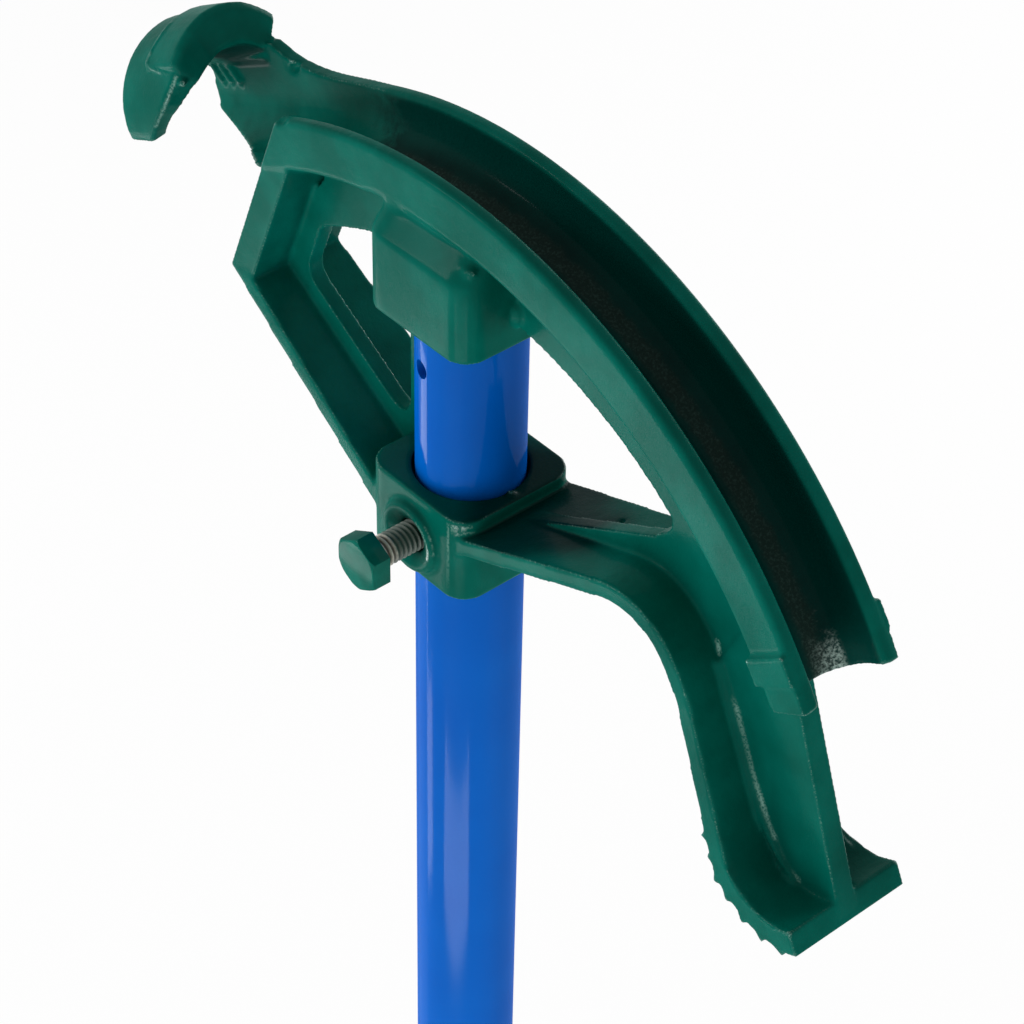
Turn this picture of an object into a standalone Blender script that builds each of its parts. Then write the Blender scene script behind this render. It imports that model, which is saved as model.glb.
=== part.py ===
"""Hand conduit bender: a cast head on a straight tube handle, held by one set screw.

The handle stands on its capped end at the origin and runs up +Z. The head's working plane is XZ:
+X points to the foot pedal, -Y to the side that the set screw enters. All lengths are in metres.
"""
import math

import bmesh
import bpy
from mathutils import Vector

MM = 0.001

# Handle tube and its cap
TUBE_RADIUS = 13.35 * MM
TUBE_WALL = 2.3 * MM
TUBE_LENGTH = 1000.0 * MM
TUBE_SIDES = 64
HANG_HOLE_RADIUS = 2.4 * MM
HANG_HOLE_BELOW_BOSS = 13.6 * MM
HANG_HOLE_TURN = math.radians(11.7)
CAP_WALL = 1.7 * MM
CAP_BASE = 3.0 * MM
CAP_LENGTH = 38.0 * MM
CAP_EDGE = 1.2 * MM
FIT_GAP = 0.3 * MM
BORE_MOUTH = 1.0 * MM
OVERRUN = 4.0 * MM
WELD = 0.01 * MM

# Conduit groove and shoe, seen across the bend
GROOVE_RADIUS = 9.75 * MM
GROOVE_WALL_DEPTH = 4.0 * MM
LIP_THICKNESS = 3.87 * MM
CHEEK_DEPTH = 12.2 * MM
GROOVE_FLOOR_METAL = 4.6 * MM
LIP_ROUNDING = 0.8 * MM
SHOE_RADIUS = 142.8 * MM
SHOE_AHEAD = 2.6 * MM
SHOE_END_ANGLE = math.radians(31.2)
SHOE_TANGENT_ANGLE = math.radians(114.0)
SHOE_STEPS = 48
RIM_STEPS = 8
GROOVE_STEPS = 14

# Socket boss, collar and their bore
TUBE_INTO_BOSS = 20.0 * MM
BOSS_SIDE = 36.0 * MM
BOSS_CORNER = 6.5 * MM
BOSS_BELOW_CREST = 40.2 * MM
BOSS_TOP_BELOW_CREST = 13.5 * MM
BOSS_SHOULDER = 6.0 * MM
COLLAR_SIDE = 36.0 * MM
COLLAR_CORNER = 6.5 * MM
COLLAR_HEIGHT = 24.3 * MM
COLLAR_BELOW_BOSS = 45.9 * MM
CORNER_STEPS = 7

# Web, struts and arm
WEB_THICKNESS = 4.4 * MM
WEB_FOOT_SHARE = 0.04
HEEL_WEB_THICKNESS = 5.8 * MM
HEEL_WEB_SINK_SHARE = 0.4
RIM_DEPTH = 33.6 * MM
LEFT_RIM_DEPTH = 31.2 * MM
STRUT_WIDTH = 26.8 * MM
STRUT_FOOT_WIDTH = 35.4 * MM
HEAD_STRUT_THICKNESS = 8.0 * MM
KNEE_STRUT_THICKNESS = 4.8 * MM
BACKING_INSET = 0.05 * MM
BACKING_SINK_SHARE = 0.3
KNEE_DEPTH = 31.78 * MM
KNEE_ANGLE = math.radians(134.93)
STRUT_FOOT_ABOVE_COLLAR = 0.5 * MM
WINDOW_MARGIN_HEAD = 14.0 * MM
WINDOW_MARGIN_KNEE = 9.4 * MM
WINDOW_CORNER = 6.0 * MM
WINDOW_STOP = 20.0 * MM
CORNER_REACH_SHARE = 0.45
MITRE_SHARE = 0.3
ARM_THICKNESS = 4.5 * MM
ARM_FOOT_ABOVE_COLLAR = 8.7 * MM
ARM_FOOT_WIDTH = 35.4 * MM
HEEL_WIDTH = 28.4 * MM
SILL_FOOT_ABOVE_COLLAR = 10.1 * MM
SILL_SLOPE = math.radians(28.2)

# Heel and foot pedal, at depths inside the shoe's radius and angles round its centre
ARM_BEND_DEPTH = 55.87 * MM
ARM_BEND_ANGLE = math.radians(47.70)
ARM_BEND_PULL = 10.0 * MM
HEEL_TOP_DEPTH = 44.82 * MM
HEEL_TOP_ANGLE = math.radians(30.41)
HEEL_TOP_PULL = 18.0 * MM
HEEL_FOOT_DEPTH = 41.95 * MM
HEEL_FOOT_ANGLE = math.radians(7.86)
HEEL_FOOT_PULL = 8.4 * MM
PEDAL_END_DEPTH = 12.99 * MM
PEDAL_END_ANGLE = math.radians(3.27)
PEDAL_END_PULL = 13.3 * MM
PEDAL_END_TILT = math.radians(31.0)
PEDAL_THICKNESS = 6.3 * MM
PEDAL_WIDTH = 34.6 * MM
CURVE_STEPS = 12
TREAD_COUNT = 7
TREAD_HEIGHT = 1.6 * MM
TREAD_BASE = 3.8 * MM

# Step pads on both cheeks at the shoe's end
PAD_DEPTH = 13.0 * MM
END_PAD_DEPTH = 10.6 * MM
PAD_THICKNESS = 1.3 * MM
PAD_ANGLE = math.radians(2.9)
END_PAD_THICKNESS = 0.7 * MM
END_PAD_ANGLE = math.radians(2.8)
END_PAD_OVERHANG = math.radians(0.12)
PAD_OVERLAP_SHARE = 0.93
HEEL_WEB_ANGLE = math.radians(39.9)

# Tongue and hook, along the tangent that leaves the shoe's arc
TONGUE_LENGTH = 62.3 * MM
TONGUE_CUT_BACK = 24.4 * MM
TONGUE_SLANT_SHARE = 1.86
TONGUE_UNDERCUT_SHARE = 1.2
NEAR_END_DEPTH_SHARE = 0.91
NEAR_END_SHARE = 0.3
NEAR_END_PROUD = 0.3 * MM
NECK_RISE = 10.5 * MM
NECK_START = 20.0 * MM
NECK_CUT_BACK = 30.7 * MM
NECK_END_GAP = 0.7 * MM
NECK_SLOPE_SHARE = 0.35
NECK_STEPS = 10
HOOK_CLEARANCE = 2.6 * MM
HOOK_OVERHANG = 1.7 * MM
HOOK_WIDTH = 30.0 * MM
HOOK_METAL = 12.2 * MM
HOOK_FLARE = 3.7 * MM
HOOK_EDGE = 1.6 * MM
RIB_HEIGHT = 1.7 * MM
RIB_WIDTH_SHARE = 0.55
HOOK_STEPS = 2
TOOTH_COUNT = 3
TOOTH_PITCH = 3.8 * MM
TOOTH_RADIUS = 1.5 * MM
TOOTH_SINK = 0.3 * MM
TOOTH_TOP = 8.4 * MM
TOOTH_LOW = 3.0 * MM
TOOTH_SLANT_SHARE = 0.7
TOOTH_SIDES = 8

# The hook round the conduit's axis: angle in degrees, then shares of its width, of its metal on
# the shoe's side, of its metal on the far side, of its flare and of its rib's height
HOOK_SHARES = (
    (30.0, 1.00, 0.20, 0.20, 0.00, 0.0),
    (48.0, 1.00, 0.52, 0.52, 0.50, 0.0),
    (50.5, 1.00, 0.86, 0.86, 0.90, 1.0),
    (60.0, 1.00, 0.91, 0.88, 1.00, 1.0),
    (72.0, 1.00, 0.98, 0.86, 1.00, 1.0),
    (86.0, 1.00, 1.00, 0.81, 1.00, 1.0),
    (98.0, 1.00, 0.97, 0.74, 1.00, 1.0),
    (110.0, 1.00, 0.90, 0.67, 0.90, 1.0),
    (122.0, 0.97, 0.78, 0.60, 0.75, 1.0),
    (132.0, 0.93, 0.67, 0.54, 0.65, 1.0),
    (134.0, 0.91, 0.65, 0.53, 0.64, 0.0),
    (145.0, 0.82, 0.55, 0.48, 0.58, 0.0),
    (157.0, 0.72, 0.49, 0.44, 0.52, 0.0),
    (172.0, 0.54, 0.42, 0.40, 0.45, 0.0),
    (190.0, 0.36, 0.40, 0.38, 0.20, 0.0),
)

# Set screw and its boss
SCREW_RADIUS = 4.0 * MM
SCREW_HEAD_FLATS = 13.0 * MM
SCREW_HEAD_HEIGHT = 5.3 * MM
SCREW_HEAD_CHAMFER = 1.0 * MM
SCREW_SHOWN = 10.0 * MM
SCREW_ABOVE_COLLAR_FOOT = 11.1 * MM
SCREW_POINT = 1.5 * MM
SCREW_BOSS_RADIUS = 9.6 * MM
SCREW_BOSS_HEIGHT = 2.0 * MM
SCREW_SINK = 7.6 * MM
SCREW_SIDES = 24

SHARP_ANGLE = math.radians(30.0)

# Places that follow from the sizes above
SHOE_WIDTH = 2 * (GROOVE_RADIUS + LIP_THICKNESS)
TUBE_TOP = CAP_BASE + FIT_GAP + TUBE_LENGTH
BOSS_BOTTOM = TUBE_TOP - TUBE_INTO_BOSS
SHOE_CREST = BOSS_BOTTOM + BOSS_BELOW_CREST
COLLAR_TOP = BOSS_BOTTOM - COLLAR_BELOW_BOSS
COLLAR_BOTTOM = COLLAR_TOP - COLLAR_HEIGHT
SHOE_CENTRE = Vector((SHOE_AHEAD, 0.0, SHOE_CREST - SHOE_RADIUS))
FLOOR_RADIUS = SHOE_RADIUS - GROOVE_WALL_DEPTH - GROOVE_RADIUS
BORE_RADIUS = TUBE_RADIUS + FIT_GAP
SCREW_HEIGHT = COLLAR_BOTTOM + SCREW_ABOVE_COLLAR_FOOT
SIDE_Y = -COLLAR_SIDE / 2 - SCREW_BOSS_HEIGHT


def along(angle):
    """Unit vector in the XZ plane at an angle from +X."""
    return Vector((math.cos(angle), 0.0, math.sin(angle)))


def on_shoe(radius, angle, y=0.0):
    """Point at a radius and angle of the shoe's arc."""
    return SHOE_CENTRE + along(angle) * radius + Vector((0.0, y, 0.0))


def on_tongue(back, height, y=0.0):
    """Point beyond the arc: back along its tangent, at a radius height, across at y."""
    tangent = along(SHOE_TANGENT_ANGLE + math.pi / 2)
    return on_shoe(height, SHOE_TANGENT_ANGLE, y) + tangent * back


def arc_points(centre, radius, start, end, steps):
    """Points of an arc in a plane, as pairs."""
    angles = [start + (end - start) * i / steps for i in range(steps + 1)]
    return [(centre[0] + radius * math.cos(a), centre[1] + radius * math.sin(a)) for a in angles]


def offset_path(path, distance):
    """Copy of an XZ path moved to its left by a distance, mitred at its corners."""
    moved = []
    for i, point in enumerate(path):
        before = path[max(i - 1, 0)]
        after = path[min(i + 1, len(path) - 1)]
        into = (point - before if i else after - point).normalized()
        out = (after - point if i < len(path) - 1 else point - before).normalized()
        left = Vector((-into.z - out.z, 0.0, into.x + out.x)).normalized()
        mitre = max(left.dot(Vector((-out.z, 0.0, out.x))), MITRE_SHARE)
        moved.append(point + left * distance / mitre)
    return moved


def round_corner(before, corner, after, radius, steps=CORNER_STEPS):
    """Points that round one corner of an XZ outline."""
    a = (before - corner).normalized()
    b = (after - corner).normalized()
    half = a.angle(b) / 2
    nearest = min((before - corner).length, (after - corner).length)
    reach = min(radius / math.tan(half), nearest * CORNER_REACH_SHARE)
    start, end = corner + a * reach, corner + b * reach
    points = []
    for i in range(steps + 1):
        t = i / steps
        points.append(start * (1 - t) ** 2 + corner * 2 * t * (1 - t) + end * t ** 2)
    return points


def clear_scene():
    """Remove whatever the file opened with."""
    for obj in list(bpy.data.objects):
        bpy.data.objects.remove(obj, do_unlink=True)


def make_material(name, colour, roughness, metallic):
    """Principled material of one plain finish."""
    material = bpy.data.materials.new(name)
    material.use_nodes = True
    shader = material.node_tree.nodes["Principled BSDF"]
    shader.inputs["Base Color"].default_value = (*colour, 1.0)
    shader.inputs["Roughness"].default_value = roughness
    shader.inputs["Metallic"].default_value = metallic
    return material


def add_object(name, bm, material=None):
    """Object from a bmesh, its faces pointing out."""
    bmesh.ops.recalc_face_normals(bm, faces=bm.faces)
    mesh = bpy.data.meshes.new(name)
    bm.to_mesh(mesh)
    bm.free()
    if material:
        mesh.materials.append(material)
    obj = bpy.data.objects.new(name, mesh)
    bpy.context.scene.collection.objects.link(obj)
    return obj


def loft(name, loops, closed=False):
    """Solid through equal loops of points, capped unless it closes on itself."""
    bm = bmesh.new()
    rings = [[bm.verts.new(p) for p in loop] for loop in loops]
    pairs = list(zip(rings, rings[1:]))
    if closed:
        pairs.append((rings[-1], rings[0]))
    for a, b in pairs:
        for i in range(len(a)):
            j = (i + 1) % len(a)
            bm.faces.new((a[i], a[j], b[j], b[i]))
    if not closed:
        bm.faces.new(list(reversed(rings[0])))
        bm.faces.new(rings[-1])
    return add_object(name, bm)


def plate(name, outline, y_low, y_high):
    """Flat plate: an XZ outline between two values of Y."""
    loops = [[Vector((p.x, y, p.z)) for p in outline] for y in (y_low, y_high)]
    return loft(name, loops)


def block(name, side, corner, low, high):
    """Square post round the Z axis with rounded corners."""
    square = []
    half = side / 2 - corner
    for quarter, (sx, sy) in enumerate(((1, 1), (-1, 1), (-1, -1), (1, -1))):
        start = quarter * math.pi / 2
        square += arc_points((sx * half, sy * half), corner, start, start + math.pi / 2, CORNER_STEPS)
    loops = [[Vector((x, y, z)) for x, y in square] for z in (low, high)]
    return loft(name, loops)


def turned(name, profile, sides, axis_from, axis_to):
    """Round solid from (distance, radius) pairs along an axis."""
    direction = (axis_to - axis_from).normalized()
    turn = Vector((0.0, 0.0, 1.0)).rotation_difference(direction).to_matrix()
    loops = []
    for distance, radius in profile:
        ring = []
        for i in range(sides):
            angle = 2 * math.pi * i / sides
            flat = Vector((radius * math.cos(angle), radius * math.sin(angle), distance))
            ring.append(axis_from + turn @ flat)
        loops.append(ring)
    return loft(name, loops)


def combine(target, tools, operation):
    """Join tools to the target, or cut them out of it, and remove them."""
    for tool in tools:
        modifier = target.modifiers.new(operation.title(), "BOOLEAN")
        modifier.operation = operation
        modifier.solver = "EXACT"
        modifier.object = tool
        graph = bpy.context.evaluated_depsgraph_get()
        mesh = bpy.data.meshes.new_from_object(target.evaluated_get(graph))
        target.modifiers.clear()
        target.data = mesh
        bpy.data.objects.remove(tool, do_unlink=True)
    return target


def finish(obj, name, material):
    """Name and dress one finished sub-part."""
    bm = bmesh.new()
    bm.from_mesh(obj.data)
    bmesh.ops.remove_doubles(bm, verts=bm.verts, dist=WELD)
    bmesh.ops.dissolve_degenerate(bm, edges=bm.edges, dist=WELD)
    bm.to_mesh(obj.data)
    bm.free()
    obj.name = name
    obj.data.name = name
    obj.data.materials.clear()
    obj.data.materials.append(material)
    obj.data.shade_smooth()
    obj.data.set_sharp_from_angle(angle=SHARP_ANGLE)
    return obj


def bezier(start, first, last, end, steps):
    """Points of a cubic curve in the XZ plane."""
    points = []
    for i in range(steps + 1):
        t = i / steps
        u = 1 - t
        points.append(start * u ** 3 + first * 3 * u * u * t + last * 3 * u * t * t + end * t ** 3)
    return points


def strut_path():
    """Outer line of the two left struts, from the shoe down to the collar."""
    top = on_shoe(SHOE_RADIUS - LIP_ROUNDING, SHOE_TANGENT_ANGLE)
    knee = on_shoe(SHOE_RADIUS - KNEE_DEPTH, KNEE_ANGLE)
    foot = Vector((0.0, 0.0, COLLAR_BOTTOM + STRUT_FOOT_ABOVE_COLLAR))
    return top, knee, foot


def heel_path():
    """Outer line of the arm, the heel and the pedal, from the collar to the pedal's end."""
    foot = Vector((0.0, 0.0, COLLAR_BOTTOM + ARM_FOOT_ABOVE_COLLAR))
    bend = on_shoe(SHOE_RADIUS - ARM_BEND_DEPTH, ARM_BEND_ANGLE)
    top = on_shoe(SHOE_RADIUS - HEEL_TOP_DEPTH, HEEL_TOP_ANGLE)
    low = on_shoe(SHOE_RADIUS - HEEL_FOOT_DEPTH, HEEL_FOOT_ANGLE)
    end = on_shoe(SHOE_RADIUS - PEDAL_END_DEPTH, PEDAL_END_ANGLE)
    arm = (bend - foot).normalized()
    heel = (low - top).normalized()
    pedal = along(PEDAL_END_TILT)
    crest = bezier(bend, bend + arm * ARM_BEND_PULL, top - heel * HEEL_TOP_PULL, top, CURVE_STEPS)
    sole = bezier(low, low + heel * HEEL_FOOT_PULL, end - pedal * PEDAL_END_PULL, end, CURVE_STEPS)
    return [foot] + crest + [top.lerp(low, 0.5)] + sole


def shoe_profile():
    """Cross-section of the shoe as (y, radius) pairs: a round groove between two lips."""
    wall = SHOE_RADIUS - GROOVE_WALL_DEPTH
    groove = arc_points((0.0, wall), GROOVE_RADIUS, math.pi, 2 * math.pi, GROOVE_STEPS)
    lip = [(GROOVE_RADIUS, SHOE_RADIUS - LIP_ROUNDING), (GROOVE_RADIUS + LIP_ROUNDING, SHOE_RADIUS),
           (SHOE_WIDTH / 2 - LIP_ROUNDING, SHOE_RADIUS), (SHOE_WIDTH / 2, SHOE_RADIUS - LIP_ROUNDING)]
    cheek = (SHOE_WIDTH / 2, SHOE_RADIUS - CHEEK_DEPTH)
    under = (WEB_THICKNESS / 4, FLOOR_RADIUS - GROOVE_FLOOR_METAL)
    right = groove + lip + [cheek, under]
    left = [(-y, r) for y, r in reversed(lip + [cheek, under])]
    return right + left


def shoe_body():
    """Shoe along its arc, with the straight tongue that carries on from it."""
    profile = shoe_profile()
    loops = []
    for i in range(SHOE_STEPS + 1):
        angle = SHOE_END_ANGLE + (SHOE_TANGENT_ANGLE - SHOE_END_ANGLE) * i / SHOE_STEPS
        loops.append([on_shoe(r, angle, y) for y, r in profile])
    loops.append([on_tongue(TONGUE_LENGTH, r, y) for y, r in profile])
    return loft("shoe", loops)


def tongue_cutter():
    """Wedge that trims the tongue slantwise and undercuts its edge."""
    y_far = SHOE_WIDTH / 2 + OVERRUN
    reach = TONGUE_LENGTH - TONGUE_CUT_BACK
    beyond = TONGUE_LENGTH + reach + TONGUE_SLANT_SHARE * y_far
    loops = []
    for height in (FLOOR_RADIUS - TONGUE_LENGTH, SHOE_RADIUS + OVERRUN):
        undercut = TONGUE_UNDERCUT_SHARE * (height - FLOOR_RADIUS)
        edge = [reach + undercut + TONGUE_SLANT_SHARE * y for y in (-y_far, y_far)]
        far = beyond + max(undercut, 0.0)
        plan = ((edge[0], -y_far), (edge[1], y_far), (far, y_far), (far, -y_far))
        loops.append([on_tongue(back, height, y) for back, y in plan])
    return loft("tongue_cutter", loops)


def near_lip_cutter():
    """Prism that ends the near lip in line with the head strut, down to the groove's floor."""
    top, knee, _ = strut_path()
    down = (knee - top).normalized()
    height = SHOE_RADIUS - GROOVE_WALL_DEPTH - GROOVE_RADIUS * NEAR_END_DEPTH_SHARE
    reach = on_tongue(TONGUE_LENGTH + OVERRUN, 0.0) - on_tongue(0.0, 0.0)
    proud = top + Vector((down.z, 0.0, -down.x)) * NEAR_END_PROUD
    start = proud - down * CHEEK_DEPTH
    end = meet(proud, down, on_tongue(0.0, height), reach)
    outline = [start, end, end + reach, start + reach]
    return plate("near_lip_cutter", outline, -SHOE_WIDTH / 2 - OVERRUN, -GROOVE_RADIUS * NEAR_END_SHARE)


def neck():
    """Far lip where it rises towards the hook."""
    top = []
    reach = TONGUE_LENGTH - NECK_CUT_BACK
    for i in range(NECK_STEPS + 1):
        share = i / NECK_STEPS
        back = reach * share - NECK_START * (1 - share)
        crest = math.sqrt(SHOE_RADIUS ** 2 - min(back, 0.0) ** 2) - LIP_ROUNDING
        rise = NECK_RISE * (NECK_SLOPE_SHARE * share + (1 - NECK_SLOPE_SHARE) * share ** 5)
        top.append(on_tongue(back, crest + rise))
    end = TONGUE_LENGTH - NECK_END_GAP
    base = [on_tongue(end, SHOE_RADIUS - LIP_ROUNDING + NECK_RISE), on_tongue(end, SHOE_RADIUS - CHEEK_DEPTH),
            on_tongue(-NECK_START, SHOE_RADIUS - CHEEK_DEPTH)]
    return plate("neck", top + base, GROOVE_RADIUS, SHOE_WIDTH / 2)


def at_hook(back, radius, angle):
    """Point of the hook at an angle round the conduit's axis, measured from the far side."""
    axis = SHOE_RADIUS - GROOVE_WALL_DEPTH
    return on_tongue(back, axis + radius * math.sin(angle), radius * math.cos(angle))


def hook_section(row):
    """One cross-section of the hook from its row of shares."""
    degrees, width, near_metal, far_metal, flare, rib = row
    bore = GROOVE_RADIUS + HOOK_CLEARANCE
    left = TONGUE_LENGTH + HOOK_OVERHANG
    right = left - HOOK_WIDTH * width
    middle = (right + left) / 2
    edge = HOOK_EDGE * near_metal
    step = right + HOOK_WIDTH * width * RIB_WIDTH_SHARE
    outer_right = bore + HOOK_METAL * near_metal
    outer_left = bore + HOOK_METAL * far_metal
    outer_step = outer_right + (outer_left - outer_right) * RIB_WIDTH_SHARE
    lift = RIB_HEIGHT * rib
    corners = ((right, bore + HOOK_FLARE * flare * near_metal), (middle, bore), (left, bore),
               (left, outer_left - edge), (left - edge, outer_left), (step, outer_step),
               (step - edge / 2, outer_step + lift), (right + edge, outer_right + lift),
               (right, outer_right + lift - edge))
    return [at_hook(back, radius, math.radians(degrees)) for back, radius in corners]


def hook_body():
    """Arch over the conduit, from the far lip down to the near side, with a rib on its crown."""
    rows = [HOOK_SHARES[0]]
    for last, row in zip(HOOK_SHARES, HOOK_SHARES[1:]):
        for i in range(1, HOOK_STEPS + 1):
            share = i / HOOK_STEPS
            rows.append([a + (b - a) * share for a, b in zip(last, row)])
    return loft("hook", [hook_section(row) for row in rows])


def hook_teeth():
    """Small slanted ridges on the tongue's far wall, under the hook."""
    teeth = []
    axis = SHOE_RADIUS - GROOVE_WALL_DEPTH
    side = GROOVE_RADIUS + TOOTH_SINK
    slant = (TOOTH_TOP - TOOTH_LOW) * TOOTH_SLANT_SHARE
    for i in range(TOOTH_COUNT):
        back = TONGUE_LENGTH - TOOTH_PITCH * (i + 0.5)
        low = on_tongue(back - slant, axis + TOOTH_LOW, side)
        high = on_tongue(back, axis + TOOTH_TOP, side)
        profile = [(0.0, TOOTH_RADIUS), ((high - low).length, TOOTH_RADIUS)]
        teeth.append(turned("tooth", profile, TOOTH_SIDES, low, high))
    return teeth


def run_lengths(path):
    """Length along a path up to each of its points."""
    lengths = [0.0]
    for a, b in zip(path, path[1:]):
        lengths.append(lengths[-1] + (b - a).length)
    return lengths


def graded(path, stops):
    """One value for each point of a path, even between (point number, value) stops."""
    lengths = run_lengths(path)
    values = []
    for i, length in enumerate(lengths):
        low = max(stop for stop in stops if stop[0] <= i)
        high = min(stop for stop in stops if stop[0] >= i)
        span = lengths[high[0]] - lengths[low[0]]
        share = (length - lengths[low[0]]) / span if span else 0.0
        values.append(low[1] + (high[1] - low[1]) * share)
    return values


def bar(name, path, thicknesses, widths):
    """Bar along an XZ path, its thickness on the left and its width centred on Y."""
    unit = offset_path(path, 1)
    loops = []
    for point, moved, thickness, width in zip(path, unit, thicknesses, widths):
        inner = point + (moved - point) * thickness
        across = Vector((0.0, width / 2, 0.0))
        loops.append([point - across, inner - across, inner + across, point + across])
    return loft(name, loops)


def strut_backing():
    """Thickening of the head strut on its inside."""
    top, knee, _ = strut_path()
    down = (knee - top).normalized()
    inward = Vector((-down.z, 0.0, down.x))
    level = on_tongue(0.0, SHOE_RADIUS - CHEEK_DEPTH + LIP_ROUNDING)
    tangent = on_tongue(TONGUE_LENGTH, 0.0) - on_tongue(0.0, 0.0)
    outer = inward * KNEE_STRUT_THICKNESS * BACKING_SINK_SHARE
    inner = inward * HEAD_STRUT_THICKNESS
    outline = [meet(top + outer, down, level, tangent), knee + outer,
               knee + inner, meet(top + inner, down, level, tangent)]
    half = STRUT_WIDTH / 2 - BACKING_INSET
    return plate("strut_backing", outline, -half, half)


def struts():
    """The two left struts, hollowed where the groove runs over them, and the arm with its pedal."""
    top, knee, foot = strut_path()
    start = top.lerp(knee, LIP_THICKNESS * 2 / (knee - top).length)
    left = bar("struts", [start, knee, foot], [KNEE_STRUT_THICKNESS] * 3,
               [STRUT_WIDTH, STRUT_WIDTH, STRUT_FOOT_WIDTH])
    path = heel_path()
    end = len(path) - 1
    bend = CURVE_STEPS + 1
    thicknesses = graded(path, ((0, ARM_THICKNESS), (bend, ARM_THICKNESS), (end, PEDAL_THICKNESS)))
    widths = graded(path, ((0, ARM_FOOT_WIDTH), (bend, HEEL_WIDTH), (end, PEDAL_WIDTH)))
    hollowed = [combine(strut, [groove_cutter()], "DIFFERENCE") for strut in (left, strut_backing())]
    return hollowed + [bar("heel", path, thicknesses, widths)]


def web_body():
    """Web in the middle plane, with a window on each side of the handle."""
    arc = []
    radius = FLOOR_RADIUS - GROOVE_FLOOR_METAL / 2
    for i in range(1, SHOE_STEPS + 1):
        angle = SHOE_END_ANGLE + (SHOE_TANGENT_ANGLE - SHOE_END_ANGLE) * i / SHOE_STEPS
        arc.append(on_shoe(radius, angle))
    top, knee, foot = strut_path()
    left = offset_path([top, knee, foot], KNEE_STRUT_THICKNESS / 2)[1:]
    left[1] = left[1].lerp(left[0], WEB_FOOT_SHARE)
    right = offset_path(heel_path(), ARM_THICKNESS / 2)
    web = plate("web", arc + left + right[1:-1], -WEB_THICKNESS / 2, WEB_THICKNESS / 2)
    return combine(web, [left_window(), right_window()], "DIFFERENCE")


def meet(point, direction, other, other_direction):
    """Crossing of two lines in the XZ plane."""
    across = direction.x * other_direction.z - direction.z * other_direction.x
    gap = other - point
    share = (gap.x * other_direction.z - gap.z * other_direction.x) / across
    return point + direction * share


def rim_point(x, depth):
    """Point at a value of X on the inner edge of a web rim of some depth."""
    radius = SHOE_RADIUS - depth
    return Vector((x, 0.0, SHOE_CENTRE.z + math.sqrt(radius ** 2 - (x - SHOE_CENTRE.x) ** 2)))


def meet_rim(point, direction, depth):
    """Where a line in the XZ plane, followed forwards, last crosses a rim's inner edge."""
    radius = SHOE_RADIUS - depth
    offset = point - SHOE_CENTRE
    along_line = offset.dot(direction)
    reach = math.sqrt(along_line ** 2 - offset.length_squared + radius ** 2)
    return point + direction * (reach - along_line)


def cut_window(name, outline):
    """Cutter through the web."""
    return plate(name, outline, -HEEL_WEB_THICKNESS, HEEL_WEB_THICKNESS)


def left_window():
    """Cutter for the window between the left struts and the socket boss."""
    top, knee, foot = strut_path()
    down = (knee - top).normalized()
    back = (foot - knee).normalized()
    head_line = top + Vector((-down.z, 0.0, down.x)) * WINDOW_MARGIN_HEAD
    knee_line = knee + Vector((-back.z, 0.0, back.x)) * WINDOW_MARGIN_KNEE
    corner = meet(head_line, down, knee_line, back)
    crown = meet_rim(corner, -down, LEFT_RIM_DEPTH)
    low = meet(knee_line, back, Vector((-WINDOW_STOP, 0.0, 0.0)), Vector((0.0, 0.0, 1.0)))
    span = -WINDOW_STOP - crown.x
    rim = [rim_point(crown.x + span * i / RIM_STEPS, LEFT_RIM_DEPTH) for i in range(1, RIM_STEPS + 1)]
    outline = round_corner(rim[0], crown, corner, WINDOW_CORNER)
    outline += round_corner(crown, corner, low, WINDOW_CORNER)
    outline += round_corner(corner, low, rim[-1], WINDOW_CORNER)
    return cut_window("left_window", outline + rim[::-1])


def right_window():
    """Cutter for the window between the shoe, the arm and the handle."""
    low = Vector((0.0, 0.0, COLLAR_BOTTOM + SILL_FOOT_ABOVE_COLLAR))
    corner = meet_rim(low, along(SILL_SLOPE), RIM_DEPTH)
    rim = [rim_point(corner.x * (1 - i / SHOE_STEPS), RIM_DEPTH) for i in range(1, SHOE_STEPS + 1)]
    turn = round_corner(low, corner, rim[0], WINDOW_CORNER)
    return cut_window("right_window", [low] + turn + rim)


def heel_web():
    """Thicker web between the shoe's end and the pedal."""
    inner = offset_path(heel_path(), ARM_THICKNESS * HEEL_WEB_SINK_SHARE)
    start = CURVE_STEPS
    arc_top = on_shoe(FLOOR_RADIUS - GROOVE_FLOOR_METAL / 2, HEEL_WEB_ANGLE)
    arc_end = on_shoe(FLOOR_RADIUS - GROOVE_FLOOR_METAL / 2, SHOE_END_ANGLE)
    outline = inner[start:] + [arc_end, arc_top]
    return plate("heel_web", outline, -HEEL_WEB_THICKNESS / 2, HEEL_WEB_THICKNESS / 2)


def treads():
    """Row of small ridges across the outside of the pedal."""
    path = heel_path()[CURVE_STEPS + 2:]
    lengths = run_lengths(path)
    ridges = []
    for i in range(TREAD_COUNT):
        goal = lengths[-1] * (2 * i + 1) / (2 * TREAD_COUNT)
        k = max(j for j in range(len(path) - 1) if lengths[j] <= goal)
        place = path[k].lerp(path[k + 1], (goal - lengths[k]) / (lengths[k + 1] - lengths[k]))
        direction = (path[k + 1] - path[k]).normalized()
        out = Vector((direction.z, 0.0, -direction.x))
        base = direction * (TREAD_BASE / 2)
        sunk = place - out * TREAD_HEIGHT
        outline = [sunk - base, place + out * TREAD_HEIGHT, sunk + base]
        half = STRUT_WIDTH / 2
        ridges.append(plate("tread", outline, -half, half))
    return ridges


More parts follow.
